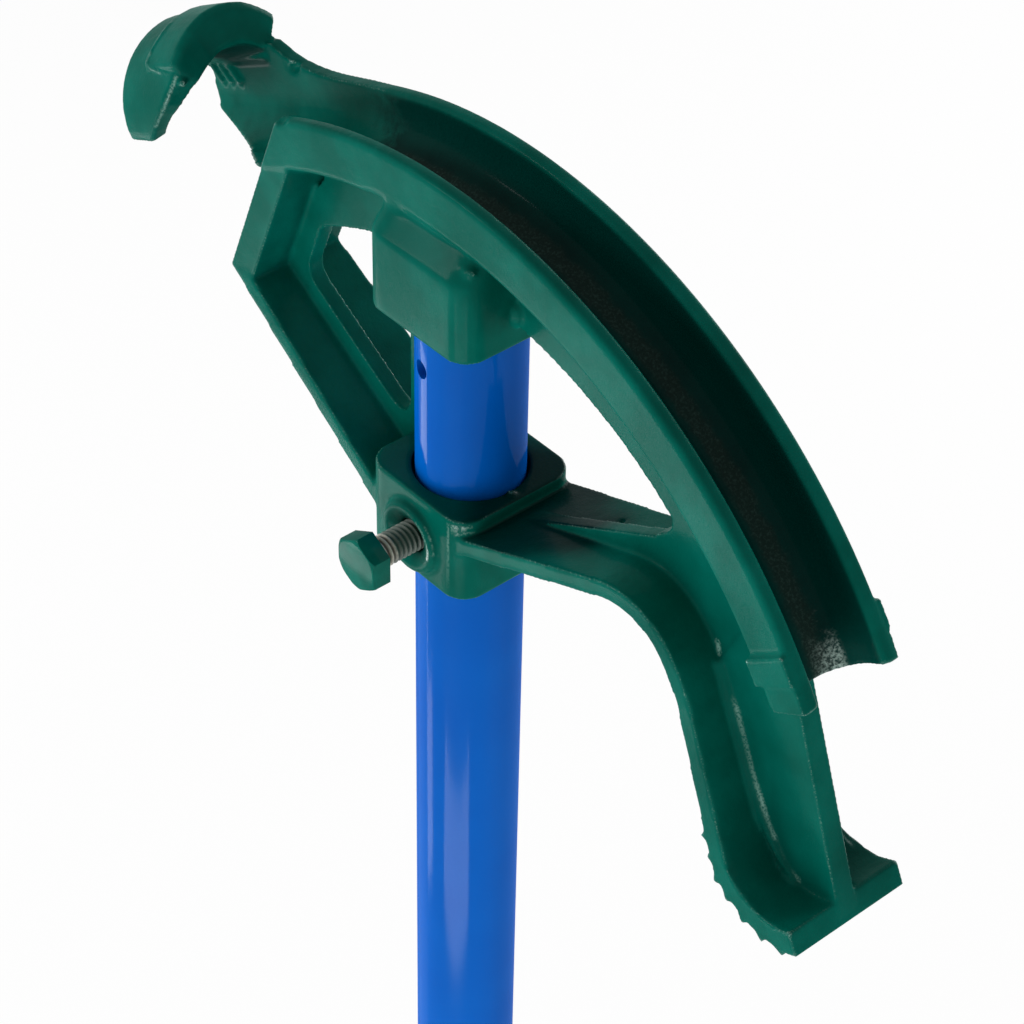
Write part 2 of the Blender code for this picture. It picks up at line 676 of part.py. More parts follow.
def pads():
    """Step pads on both cheeks at the shoe's end."""
    made = []
    steps = (
        (SHOE_END_ANGLE - END_PAD_OVERHANG, END_PAD_ANGLE, END_PAD_THICKNESS, END_PAD_DEPTH),
        (SHOE_END_ANGLE + END_PAD_ANGLE * PAD_OVERLAP_SHARE, PAD_ANGLE, PAD_THICKNESS, PAD_DEPTH),
    )
    for start, span, thickness, depth in steps:
        outline = []
        for radius, order in ((SHOE_RADIUS - depth, (0, 1, 2)), (SHOE_RADIUS - LIP_ROUNDING / 2, (2, 1, 0))):
            outline += [on_shoe(radius, start + span * k / 2) for k in order]
        for side in (-1, 1):
            inside = side * (SHOE_WIDTH / 2 - LIP_THICKNESS / 2)
            outside = side * (SHOE_WIDTH / 2 + thickness)
            made.append(plate("pad", outline, min(inside, outside), max(inside, outside)))
    return made


def boss_body():
    """Socket boss under the shoe, its shoulders sloping into the cheeks."""
    top = SHOE_CREST - BOSS_TOP_BELOW_CREST
    half = BOSS_SIDE / 2 - BOSS_CORNER
    shoulder = (BOSS_SIDE - SHOE_WIDTH + LIP_ROUNDING) / 2
    loops = []
    for z, inset in ((BOSS_BOTTOM, 0.0), (top - BOSS_SHOULDER, 0.0), (top, shoulder)):
        ring = []
        for quarter, (sx, sy) in enumerate(((1, 1), (-1, 1), (-1, -1), (1, -1))):
            start = quarter * math.pi / 2
            centre = (sx * half, sy * (half - inset))
            corner = arc_points(centre, BOSS_CORNER, start, start + math.pi / 2, CORNER_STEPS)
            ring += [Vector((x, y, z)) for x, y in corner]
        loops.append(ring)
    return loft("boss", loops)


def groove_cutter():
    """The groove's hollow and a little more, to clear what is joined to the shoe from below."""
    wall = SHOE_RADIUS - GROOVE_WALL_DEPTH
    radius = GROOVE_RADIUS + LIP_ROUNDING
    section = arc_points((0.0, wall), radius, math.pi, 2 * math.pi, GROOVE_STEPS)
    section += [(radius, SHOE_RADIUS + OVERRUN), (-radius, SHOE_RADIUS + OVERRUN)]
    loops = []
    for i in range(SHOE_STEPS + 1):
        angle = SHOE_END_ANGLE + (SHOE_TANGENT_ANGLE - SHOE_END_ANGLE) * i / SHOE_STEPS
        loops.append([on_shoe(r, angle, y) for y, r in section])
    loops.append([on_tongue(TONGUE_LENGTH, r, y) for y, r in section])
    return loft("groove_cutter", loops)


def bore_cutter():
    """Blind bore that takes the handle, its mouths in the collar chamfered."""
    low = Vector((0.0, 0.0, COLLAR_BOTTOM - OVERRUN))
    high = Vector((0.0, 0.0, TUBE_TOP + FIT_GAP))
    wide = BORE_RADIUS + BORE_MOUTH
    profile = [(0.0, wide), (OVERRUN, wide), (OVERRUN + BORE_MOUTH, BORE_RADIUS),
               (OVERRUN + COLLAR_HEIGHT - BORE_MOUTH, BORE_RADIUS), (OVERRUN + COLLAR_HEIGHT, wide),
               (2 * OVERRUN + COLLAR_HEIGHT, wide), (2 * OVERRUN + COLLAR_HEIGHT + BORE_MOUTH, BORE_RADIUS),
               ((high - low).length, BORE_RADIUS)]
    return turned("bore_cutter", profile, TUBE_SIDES, low, high)


def screw_boss():
    """Round boss on the collar, stepped like a seat round the screw."""
    start = Vector((0.0, -COLLAR_SIDE / 2 + COLLAR_CORNER / 2, SCREW_HEIGHT))
    end = Vector((0.0, SIDE_Y, SCREW_HEIGHT))
    reach = (end - start).length
    profile = [(0.0, SCREW_BOSS_RADIUS), (reach - LIP_ROUNDING, SCREW_BOSS_RADIUS),
               (reach, SCREW_BOSS_RADIUS - LIP_ROUNDING)]
    return turned("screw_boss", profile, SCREW_SIDES, start, end)


def screw_hole():
    """Hole and countersink for the set screw."""
    start = Vector((0.0, 0.0, SCREW_HEIGHT))
    end = Vector((0.0, SIDE_Y - OVERRUN, SCREW_HEIGHT))
    reach = (end - start).length
    hole = SCREW_RADIUS + FIT_GAP
    mouth = reach - OVERRUN
    profile = [(0.0, hole), (mouth - SCREW_BOSS_HEIGHT, hole), (mouth, SCREW_SINK), (reach, SCREW_SINK)]
    return turned("screw_hole", profile, SCREW_SIDES, start, end)


def build_head(material):
    """The whole casting."""
    shoe = combine(shoe_body(), [neck()], "UNION")
    shoe = combine(shoe, [tongue_cutter(), near_lip_cutter()], "DIFFERENCE")
    post = block("collar", COLLAR_SIDE, COLLAR_CORNER, COLLAR_BOTTOM, COLLAR_TOP)
    boss = combine(boss_body(), [groove_cutter()], "DIFFERENCE")
    parts = [web_body(), heel_web()] + struts() + [boss, post, screw_boss(), hook_body()]
    head = combine(shoe, parts + hook_teeth() + treads() + pads(), "UNION")
    head = combine(head, [bore_cutter(), screw_hole()], "DIFFERENCE")
    return finish(head, "bender_head", material)


def build_tube(material):
    """Handle tube with its hang hole on the near side."""
    low = Vector((0.0, 0.0, TUBE_TOP - TUBE_LENGTH))
    high = Vector((0.0, 0.0, TUBE_TOP))
    tube = turned("tube", [(0.0, TUBE_RADIUS), (TUBE_LENGTH, TUBE_RADIUS)], TUBE_SIDES, low, high)
    inner = TUBE_RADIUS - TUBE_WALL
    lift = Vector((0.0, 0.0, OVERRUN))
    profile = [(0.0, inner), (TUBE_LENGTH + 2 * OVERRUN, inner)]
    hollow = turned("hollow", profile, TUBE_SIDES, low - lift, high + lift)
    centre = Vector((0.0, 0.0, BOSS_BOTTOM - HANG_HOLE_BELOW_BOSS))
    aside = Vector((-math.sin(HANG_HOLE_TURN), -math.cos(HANG_HOLE_TURN), 0.0))
    outside = centre + aside * (TUBE_RADIUS + OVERRUN)
    profile = [(0.0, HANG_HOLE_RADIUS), ((outside - centre).length, HANG_HOLE_RADIUS)]
    hole = turned("hole", profile, SCREW_SIDES // 2, centre, outside)
    return finish(combine(tube, [hollow, hole], "DIFFERENCE"), "handle_tube", material)


def build_cap(material):
    """Slip-on cap that closes the handle's lower end."""
    inner = TUBE_RADIUS + FIT_GAP
    outer = inner + CAP_WALL
    floor = Vector((0.0, 0.0, 0.0))
    top = Vector((0.0, 0.0, CAP_LENGTH))
    profile = [(0.0, outer - CAP_EDGE), (CAP_EDGE, outer), (CAP_LENGTH - CAP_EDGE, outer),
               (CAP_LENGTH, outer - CAP_EDGE / 2)]
    cap = turned("cap", profile, TUBE_SIDES, floor, top)
    seat = Vector((0.0, 0.0, CAP_BASE))
    hollow = turned("hollow", [(0.0, inner), (CAP_LENGTH, inner)], TUBE_SIDES, seat, seat + top)
    return finish(combine(cap, [hollow], "DIFFERENCE"), "end_cap", material)


def build_screw(material):
    """Hex-head set screw, its tip against the handle."""
    tip = Vector((0.0, -TUBE_RADIUS - FIT_GAP, SCREW_HEIGHT))
    under_head = Vector((0.0, SIDE_Y - SCREW_SHOWN, SCREW_HEIGHT))
    length = (under_head - tip).length
    profile = [(0.0, SCREW_RADIUS - SCREW_POINT), (SCREW_POINT, SCREW_RADIUS),
               (length + SCREW_HEAD_HEIGHT / 2, SCREW_RADIUS)]
    shank = turned("shank", profile, SCREW_SIDES, tip, under_head)
    corner = SCREW_HEAD_FLATS / math.sqrt(3)
    out = Vector((0.0, -1.0, 0.0))
    hexagon = turned("hexagon", [(0.0, corner), (SCREW_HEAD_HEIGHT, corner)], 6, under_head,
                     under_head + out * SCREW_HEAD_HEIGHT)
    face = [(-OVERRUN, corner + OVERRUN), (SCREW_HEAD_HEIGHT - SCREW_HEAD_CHAMFER, corner),
            (SCREW_HEAD_HEIGHT, SCREW_HEAD_FLATS / 2)]
    cone = turned("cone", face, SCREW_SIDES, under_head, under_head + out)
    head = combine(hexagon, [cone], "INTERSECT")
    return finish(combine(shank, [head], "UNION"), "set_screw", material)


def main():
    """Build every sub-part."""
    clear_scene()
    green = make_material("green_enamel", (0.012, 0.155, 0.115), 0.35, 0.0)
    blue = make_material("blue_enamel", (0.010, 0.105, 0.480), 0.25, 0.0)
    zinc = make_material("zinc_plate", (0.560, 0.550, 0.520), 0.40, 1.0)
    black = make_material("black_vinyl", (0.015, 0.015, 0.016), 0.55, 0.0)
    build_head(green)
    build_tube(blue)
    build_screw(zinc)
    build_cap(black)


main()
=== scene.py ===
"""Looks of a hand conduit bender: a cast head, its painted handle, set screw and end cap."""

import logging
import math
from contextlib import contextmanager
from dataclasses import dataclass
from enum import Enum
from typing import Any, Callable, Iterator, Optional, Sequence, Tuple, Union

import bmesh
import bpy
import numpy as np
from mathutils import Matrix, Vector
from mathutils.bvhtree import BVHTree
from mathutils.kdtree import KDTree

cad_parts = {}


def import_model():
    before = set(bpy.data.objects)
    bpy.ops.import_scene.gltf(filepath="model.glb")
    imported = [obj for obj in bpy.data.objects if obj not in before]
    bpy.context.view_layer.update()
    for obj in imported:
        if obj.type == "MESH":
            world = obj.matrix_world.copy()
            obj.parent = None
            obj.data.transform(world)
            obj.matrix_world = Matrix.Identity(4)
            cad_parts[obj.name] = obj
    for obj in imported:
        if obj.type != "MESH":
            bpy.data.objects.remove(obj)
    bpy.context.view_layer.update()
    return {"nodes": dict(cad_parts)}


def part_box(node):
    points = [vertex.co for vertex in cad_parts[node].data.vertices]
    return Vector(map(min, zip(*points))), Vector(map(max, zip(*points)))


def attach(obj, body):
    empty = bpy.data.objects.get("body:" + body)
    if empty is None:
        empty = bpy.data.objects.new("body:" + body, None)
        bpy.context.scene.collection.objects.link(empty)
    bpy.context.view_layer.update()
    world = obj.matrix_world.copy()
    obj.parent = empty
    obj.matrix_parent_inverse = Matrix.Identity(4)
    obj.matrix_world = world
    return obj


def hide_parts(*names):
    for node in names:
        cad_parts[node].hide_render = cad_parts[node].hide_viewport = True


LOG = logging.getLogger("conduit_bender")
MM = 0.001
WELD = 1e-6
LEVEL = 0.9
WHITE = (1.0, 1.0, 1.0, 1.0)
Colour = Tuple[float, float, float]
Place = Tuple[float, float, float]
Span = Tuple[float, float]
Piece = bpy.types.Object


def ink(red: int, green: int, blue: int) -> Colour:
    """Turn a screen colour into the linear light that shaders take.

    Args:
        red, green, blue: the colour, each from 0 to 255.

    Returns:
        The same colour in linear light.
    """
    shares = (red / 255, green / 255, blue / 255)
    return tuple(s / 12.92 if s <= 0.04045 else ((s + 0.055) / 1.055) ** 2.4 for s in shares)


class Body(Enum):
    """The moving bodies that a piece may ride on."""

    HANDLE = "handle"
    HEAD = "head"
    SCREW = "clamp_screw"


class Slot(Enum):
    """The record's finishes."""

    GREEN = "green_enamel"
    BLUE = "blue_enamel"
    ZINC = "zinc_plate"
    VINYL = "black_vinyl"


# Shader maths


def maths_method(operation: str, reflected: bool = False) -> Callable[["Wire", "Value"], "Wire"]:
    """Make one of a wire's operators.

    Args:
        operation: the Math node's operation.
        reflected: whether the wire stands on the right of the sign.

    Returns:
        The method.
    """
    def method(self: "Wire", other: "Value") -> "Wire":
        """Add the Math node for this sum."""
        return self.graph.maths(operation, *((other, self) if reflected else (self, other)))

    return method


@dataclass(frozen=True)
class Wire:
    """An output socket of a node, which takes part in sums like a number."""

    graph: "Graph"
    socket: bpy.types.NodeSocket

    __add__, __radd__ = maths_method("ADD"), maths_method("ADD", reflected=True)
    __sub__, __rsub__ = maths_method("SUBTRACT"), maths_method("SUBTRACT", reflected=True)
    __mul__, __rmul__ = maths_method("MULTIPLY"), maths_method("MULTIPLY", reflected=True)


Value = Union[Wire, float]
Paint = Union[Wire, Colour]


class Graph:
    """The nodes of a material or of the sky, built from Python expressions."""

    def __init__(self, owner: Union[bpy.types.Material, bpy.types.World]) -> None:
        """Keep the owner of the nodes and empty its tree."""
        owner.use_nodes = True
        self.owner = owner
        self.tree = owner.node_tree
        self.tree.nodes.clear()

    def node(self, kind: str, sockets: Optional[dict] = None, **settings: Any) -> bpy.types.Node:
        """Add one node.

        Args:
            kind: the shader node's type.
            sockets: values or wires for its inputs, by name or number.
            settings: its own settings, set first.

        Returns:
            The node.
        """
        made = self.tree.nodes.new("ShaderNode" + kind)
        for key, value in settings.items():
            setattr(made, key, value)
        for key, value in (sockets or {}).items():
            if isinstance(value, Wire):
                self.tree.links.new(value.socket, made.inputs[key])
            else:
                made.inputs[key].default_value = value
        return made

    def wire(self, kind: str, sockets: Optional[dict] = None, output: Union[str, int] = 0,
             **settings: Any) -> Wire:
        """Add one node and give the wire of its output."""
        return Wire(self, self.node(kind, sockets, **settings).outputs[output])

    def maths(self, operation: str, *values: Value) -> Wire:
        """One Math node on numbers or wires."""
        return self.wire("Math", dict(enumerate(values)), operation=operation)

    def smooth(self, value: Value, low: float, high: float) -> Wire:
        """0 below low, 1 above high and a soft step between; low may be the greater one."""
        step = self.wire("MapRange",
                         {"Value": value, "From Min": min(low, high), "From Max": max(low, high)},
                         interpolation_type="SMOOTHSTEP", clamp=True)
        return 1.0 - step if low > high else step

    def place(self) -> Wire:
        """The point on the piece, in metres."""
        return self.wire("TexCoord", output="Object")

    def mapped(self, place: Wire, centre: Place = (0, 0, 0), scale: Place = (1, 1, 1)) -> Wire:
        """A place moved so that centre is its zero, then scaled."""
        moved = self.wire("VectorMath", {0: place, 1: centre}, operation="SUBTRACT")
        return self.wire("VectorMath", {0: moved, 1: scale}, operation="MULTIPLY")

    def axes(self, place: Wire) -> Tuple[Wire, Wire, Wire]:
        """The three parts of a place."""
        parts = self.node("SeparateXYZ", {0: place})
        return tuple(Wire(self, output) for output in parts.outputs)

    def noise(self, place: Wire, per_metre: float, detail: float = 2.0, rough: float = 0.5) -> Wire:
        """Noise from 0 to 1 with so many cells to the metre."""
        return self.wire("TexNoise", {"Vector": place, "Scale": per_metre, "Detail": detail,
                                      "Roughness": rough})

    def mark(self, name: str) -> Wire:
        """A number that the mesh carries at each point."""
        return self.wire("Attribute", output="Fac", attribute_name=name)

    def mix(self, share: Value, low: Paint, high: Paint) -> Wire:
        """Mix of two colours."""
        low, high = ((*paint, 1.0) if isinstance(paint, tuple) else paint for paint in (low, high))
        return self.wire("Mix", {0: share, 6: low, 7: high}, 2, data_type="RGBA",
                         clamp_factor=True)

    def seen(self) -> Wire:
        """1 for the rays by which something is seen, 0 for the ones that light."""
        rays = self.node("LightPath")
        camera, glossy, through = (Wire(self, rays.outputs[f"Is {kind} Ray"])
                                   for kind in ("Camera", "Glossy", "Transmission"))
        return self.maths("MAXIMUM", self.maths("MAXIMUM", camera, glossy), through)

    def bump(self, height: Wire, depth: float) -> Wire:
        """Surface direction bent by a height from 0 to 1 that stands for depth metres."""
        return self.wire("Bump", {"Height": height, "Distance": depth, "Strength": 1.0})


# Finishes


class Finish:
    """A procedural material; each kind says what its Principled shader takes."""

    name: str

    def sockets(self, graph: Graph, place: Wire) -> dict:
        """Give the shader's sockets at a place on the piece."""
        raise NotImplementedError

    def material(self) -> bpy.types.Material:
        """Build the finish."""
        graph = Graph(bpy.data.materials.new(self.name))
        shader = graph.wire("BsdfPrincipled", self.sockets(graph, graph.place()))
        graph.node("OutputMaterial", {"Surface": shader})
        return graph.owner


@dataclass(frozen=True)
class CastEnamel(Finish):
    """Green enamel over sand-cast iron: rough grain, rubbed in the groove, with painted highlights on
    edges and glint lines, and painted shade in recesses, under overhangs, on upward faces, in the
    socket and on the groove's walls.

    A span holds the values between which a mask rises from 0 to 1. Turns are degrees round the shoe.
    """

    name: str = "green_enamel_on_cast_iron"
    colour: Colour = ink(3, 113, 98)
    deep: Colour = ink(1, 98, 84)
    pale: Colour = ink(16, 122, 108)
    # Painted shade: the colour for closed-in recesses and for the groove's far wall.
    occlusion_shade: Colour = ink(0, 70, 62)
    # Painted highlight: the paler colour of convex edges and glint lines, and the glint colour of their
    # specks.
    edge: Colour = ink(46, 126, 112)
    painted_glint: Colour = ink(140, 190, 174)
    # Painted shade: the groove's walls are coloured dark for the shade they lie in.
    groove: Colour = ink(3, 60, 54)
    groove_deep_shade: Colour = ink(5, 46, 42)
    rubbed: Colour = ink(34, 52, 46)
    groove_pale: Colour = ink(60, 86, 78)
    # Painted shade: the colour for shade patches under overhangs, on upward faces and in hollows.
    painted_shade: Colour = ink(0, 44, 40)
    # Painted shade inside the pipe's socket.
    bore: Colour = ink(2, 12, 14)
    end_pale: Colour = ink(170, 196, 186)
    gloss: float = 0.01
    sheen: float = 0.04
    edge_sheen: float = 0.55
    bright_sheen: float = 0.4
    coat_rough: float = 0.14
    grain_cells: float = 1500
    speck_cells: float = 2300
    lump_cells: float = 280
    ragged_cells: float = 260
    cloud_cells: float = 55
    skin_depth: float = 0.20 * MM
    cloudy: Span = (0.34, 0.66)
    pale_cloudy: Span = (0.72, 0.95)
    pale_share: float = 0.5
    recessed: Span = (0.30, 0.62)
    convexity: Span = (0.26, 0.70)
    edge_highlight_share: float = 0.30
    glint_specks: Span = (0.70, 0.82)
    painted_glint_lines: Span = (0.54, 0.70)
    glint_line_share: float = 0.35
    painted_shading: Span = (0.02, 0.98)
    full_share: float = 0.75
    shaded_bore_wall: Span = (14.4 * MM, 14.1 * MM)
    shaded_bore_top: Span = (985.0 * MM, 984.0 * MM)
    groove_centre: Place = (0.0026, 0.0, 0.8807)
    groove_axis_radius: float = 138.8 * MM
    groove_wall: Span = (10.35 * MM, 9.90 * MM)
    groove_start: Span = (111.0, 106.5)
    groove_end: Span = (26.0, 28.0)
    groove_base: Span = (-7.0 * MM, -8.4 * MM)
    groove_cloudy: Span = (0.35, 0.70)
    groove_grain: Span = (0.45, 0.75)
    rubbed_middle: float = 2.9 * MM
    rubbed_reach: Span = (3.0 * MM, 1.0 * MM)
    brown_turn: Span = (100.0, 126.0)
    bright_turn: Span = (35.5, 31.5)
    bright_side: Span = (0.6 * MM, 6.2 * MM)
    bright_stop: Span = (8.2 * MM, 7.0 * MM)
    bright_grain: Span = (0.50, 0.85)
    shadowed_far_side: Span = (5.5 * MM, 9.0 * MM)
    ragged_turn: float = 9.0
    ragged_width: float = 3.0 * MM

    def groove_masks(self, graph: Graph, place: Wire) -> Tuple[Wire, Wire, Wire, Wire]:
        """Find the groove's parts.

        Args:
            graph: the material's nodes.
            place: the point on the piece.

        Returns:
            Masks of the groove, whose walls are painted in shade, of the line that the conduit rubs
            most, of its bright end and of its far wall, which is painted in shadow.
        """
        x, y, z = graph.axes(graph.mapped(place, self.groove_centre))
        ragged = graph.noise(place, self.ragged_cells, 3.0, 0.6) - 0.5
        wavy = self.ragged_width * ragged
        out = graph.maths("SQRT", x * x + z * z) - self.groove_axis_radius
        turn = graph.maths("ARCTAN2", z, x) * (180 / math.pi) + self.ragged_turn * ragged
        inside = graph.smooth(graph.maths("SQRT", out * out + y * y), *self.groove_wall)
        inside = inside * graph.smooth(turn, *self.groove_end)
        line = graph.smooth(graph.maths("ABSOLUTE", y - self.rubbed_middle) + wavy, *self.rubbed_reach)
        line = graph.maths("MAXIMUM", line, graph.smooth(turn, *self.brown_turn))
        bright = graph.smooth(turn, *self.bright_turn) * graph.smooth(y + wavy, *self.bright_side)
        return (inside * graph.smooth(turn, *self.groove_start),
                inside * graph.smooth(out, *self.groove_base) * line,
                inside * bright * graph.smooth(y, *self.bright_stop),
                graph.smooth(y, *self.shadowed_far_side))

    def sockets(self, graph: Graph, place: Wire) -> dict:
        """Give the shader's sockets."""
        grain = graph.noise(place, self.grain_cells, 3.0, 0.6)
        lumps = graph.noise(place, self.lump_cells)
        clouds = graph.noise(place, self.cloud_cells, 3.0, 0.55)
        specks = graph.noise(place, self.speck_cells, 1.0)
        gritty = grain + 0.3 * specks
        groove, line, bright, far = self.groove_masks(graph, place)
        colour = graph.mix(graph.smooth(clouds, *self.cloudy), self.deep, self.colour)
        pale = self.pale_share * graph.smooth(clouds + 0.30 * grain, *self.pale_cloudy)
        colour = graph.mix(pale, colour, self.pale)
        # Painted shade: points that the casting closes in are darkened towards the shade colour.
        occlusion = graph.smooth(graph.mark("occlusion") + 0.10 * (clouds - 0.5), *self.recessed)
        colour = graph.mix(occlusion * self.full_share, colour, self.occlusion_shade)
        # Painted shade: patches under overhangs, on upward faces, on the web and in the countersink are
        # darkened.
        painted_shade_mark = graph.mark("painted_shade_mark") + 0.25 * (clouds - 0.5)
        colour = graph.mix(graph.smooth(painted_shade_mark, *self.painted_shading), colour, self.painted_shade)
        # Painted highlight: convex edges and glint lines are lightened, and specks on them turn pale as
        # glints.
        edge = graph.smooth(graph.mark("convexity"), *self.convexity)
        # Painted highlight: the lines lightened for glints.
        glint_line = graph.mark("glint_line")
        edge_highlight = graph.maths("MAXIMUM", edge * self.edge_highlight_share, glint_line * self.glint_line_share)
        colour = graph.mix(edge_highlight, colour, self.edge)
        glint = graph.maths("MAXIMUM", edge * graph.smooth(specks + 0.35 * lumps, *self.glint_specks),
                            glint_line * graph.smooth(gritty, *self.painted_glint_lines))
        colour = graph.mix(glint * self.full_share, colour, self.painted_glint)
        # Painted shade: the socket's wall round the pipe is darkened.
        x, y, z = graph.axes(place)
        bore = graph.smooth(graph.maths("SQRT", x * x + y * y), *self.shaded_bore_wall)
        colour = graph.mix(bore * graph.smooth(z, *self.shaded_bore_top), colour, self.bore)
        # Painted shade: the groove's walls take the dark groove colours.
        walls = graph.mix(graph.smooth(clouds, *self.groove_cloudy), self.groove, self.groove_deep_shade)
        # Painted shadow: the groove's far wall, which the near lip shades, is darkened.
        walls = graph.mix(far * self.full_share, walls, self.occlusion_shade)
        colour = graph.mix(groove, colour, walls)
        rubbed = graph.mix(graph.smooth(grain, *self.groove_grain), self.rubbed, self.groove_pale)
        colour = graph.mix(line * self.full_share, colour, rubbed)
        colour = graph.mix(bright * graph.smooth(gritty, *self.bright_grain), colour, self.end_pale)
        coat = self.sheen + self.edge_sheen * graph.maths("MAXIMUM", edge, glint_line)
        return {
            "Base Color": colour, "Roughness": 0.32 + 0.14 * grain + 0.12 * groove - 0.08 * edge,
            "Normal": graph.bump(0.35 * grain + 0.65 * lumps, self.skin_depth),
            "Specular IOR Level": self.gloss, "Coat Weight": coat + self.bright_sheen * bright,
            "Coat Roughness": self.coat_rough}


@dataclass(frozen=True)
class SprayedEnamel(Finish):
    """Enamel on smooth metal: a fine peel and, on a drawn tube, faint lines along it."""

    name: str
    colour: Colour
    deep: Colour
    cloud_cells: float
    depth: float
    rough: float
    peel_rough: float
    sheen: float
    coat_rough: float
    peel_tint: float = 0.0
    drawn_rough: float = 0.0
    drawn_share: float = 0.0
    peel_cells: float = 900
    drawn_cells: float = 260
    drawn_stretch: Place = (1, 1, 0.12)
    cloudy: Span = (0.3, 0.7)

    def sockets(self, graph: Graph, place: Wire) -> dict:
        """Give the shader's sockets."""
        drawn = graph.noise(graph.mapped(place, scale=self.drawn_stretch), self.drawn_cells)
        peel = graph.noise(place, self.peel_cells)
        clouds = graph.noise(place, self.cloud_cells)
        colour = graph.mix(graph.smooth(clouds, *self.cloudy), self.deep, self.colour)
        height = (1 - self.drawn_share) * peel + self.drawn_share * drawn
        return {
            "Base Color": graph.mix(self.peel_tint * peel, colour, self.deep),
            "Roughness": self.rough + self.peel_rough * peel + self.drawn_rough * drawn,
            "Normal": graph.bump(height, self.depth), "Specular IOR Level": 0.0,
            "Coat Weight": self.sheen, "Coat Roughness": self.coat_rough}


PIPE_ENAMEL = SprayedEnamel(
    "blue_enamel_on_tube", ink(3, 108, 214), ink(1, 100, 206), cloud_cells=24, depth=0.05 * MM,
    rough=0.13, peel_rough=0.08, sheen=0.16, coat_rough=0.10, peel_tint=0.12, drawn_rough=0.05,
    drawn_share=0.4)
SCREW_ENAMEL = SprayedEnamel(
    "green_enamel_on_steel", ink(10, 116, 100), ink(4, 102, 87), cloud_cells=160, depth=0.04 * MM,
    rough=0.24, peel_rough=0.12, sheen=0.12, coat_rough=0.16)


@dataclass(frozen=True)
class ThreadZinc(Finish):
    """Dull zinc on the thread, with green overspray towards the casting; the pale crests and dark roots
    are painted highlight and shade.
    """

    name: str = "zinc_on_thread"
    colour: Colour = ink(214, 210, 196)
    # Painted shade for the thread's roots.
    deep: Colour = ink(92, 90, 80)
    paint: Colour = ink(22, 66, 56)
    height: float = 924.2 * MM
    root: float = 3.40 * MM
    crest: float = 3.85 * MM
    painted: Span = (-26.4 * MM, -25.2 * MM)
    speck_cells: float = 1500
    ragged_cells: float = 500
    ragged_width: float = 1.6 * MM
    metallic: float = 0.25

    def sockets(self, graph: Graph, place: Wire) -> dict:
        """Give the shader's sockets."""
        speck = graph.noise(place, self.speck_cells, 3.0, 0.6)
        x, y, z = graph.axes(graph.mapped(place, (0, 0, self.height)))
        ragged = y + self.ragged_width * (graph.noise(place, self.ragged_cells) - 0.5)
        painted = graph.smooth(ragged, *self.painted)
        # Painted highlight and shade: the thread's crests are pale and its roots dark.
        out = graph.maths("SQRT", x * x + z * z)
        crest = graph.smooth(out + 0.3 * MM * (speck - 0.5), self.root, self.crest)
        painted_crest_light = graph.mix(crest, self.deep, self.colour)
        return {
            "Base Color": graph.mix(painted * 0.85, painted_crest_light, self.paint),
            "Roughness": 0.42 + 0.2 * speck, "Metallic": self.metallic - self.metallic * painted,
            "Normal": graph.bump(speck, 0.02 * MM)}


@dataclass(frozen=True)
class DippedVinyl(Finish):
    """Black dipped vinyl with a soft pebble."""

    name: str = "black_vinyl_dip"
    colour: Colour = ink(26, 26, 28)
    pale: Colour = ink(58, 58, 60)
    pebble_cells: float = 900
    dust_cells: float = 120
    dusty: Span = (0.45, 0.8)

    def sockets(self, graph: Graph, place: Wire) -> dict:
        """Give the shader's sockets."""
        pebble = graph.wire("TexVoronoi", {"Vector": place, "Scale": self.pebble_cells})
        dust = graph.noise(place, self.dust_cells, 3.0)
        colour = graph.mix(0.35 * graph.smooth(dust, *self.dusty), self.colour, self.pale)
        return {
            "Base Color": colour, "Roughness": 0.48 + 0.2 * dust,
            "Normal": graph.bump(pebble, 0.12 * MM), "Specular IOR Level": 0.4}


@dataclass(frozen=True)
class PaleFloor:
    """White studio floor that still takes the object's shadow."""

    name: str = "studio_floor"
    colour: Colour = (0.9, 0.9, 0.9)
    glow_share: float = 0.95

    def material(self) -> bpy.types.Material:
        """Build the finish."""
        graph = Graph(bpy.data.materials.new(self.name))
        matt = graph.wire("BsdfDiffuse", {"Color": (*self.colour, 1.0)})
        glow = graph.wire("Emission", {"Color": WHITE, "Strength": 1.0})
        both = graph.wire("MixShader", {0: graph.seen() * self.glow_share, 1: matt, 2: glow})
        graph.node("OutputMaterial", {"Surface": both})
        return graph.owner


# Modelling tools


def put_down() -> None:
    """Leave edit mode with nothing selected."""
    if bpy.context.object and bpy.context.object.mode != "OBJECT":
        bpy.ops.object.mode_set(mode="OBJECT")
    bpy.ops.object.select_all(action="DESELECT")


def take(piece: Piece) -> Piece:
    """Select one piece alone and make it active."""
    put_down()
    piece.select_set(True)
    bpy.context.view_layer.objects.active = piece
    return piece


@contextmanager
def editing(piece: Piece, mode: str = "FACE") -> Iterator[bmesh.types.BMesh]:
    """Open a piece in edit mode with nothing selected, and close it at the end."""
    take(piece)
    bpy.ops.object.mode_set(mode="EDIT")
    bpy.ops.mesh.select_mode(type=mode)
    bpy.ops.mesh.select_all(action="DESELECT")
    yield bmesh.from_edit_mesh(piece.data)
    bpy.ops.object.mode_set(mode="OBJECT")


def select_all() -> None:
    """Select the whole mesh, in edit mode."""
    bpy.ops.mesh.select_all(action="SELECT")


def draw_out(way: Sequence[float]) -> None:
    """Extrude what is selected, by a step in metres."""
    bpy.ops.mesh.extrude_region_move(TRANSFORM_OT_translate={"value": way})


def face_outwards() -> None:
    """Turn all the faces outwards, in edit mode."""
    select_all()
    bpy.ops.mesh.normals_make_consistent(inside=False)


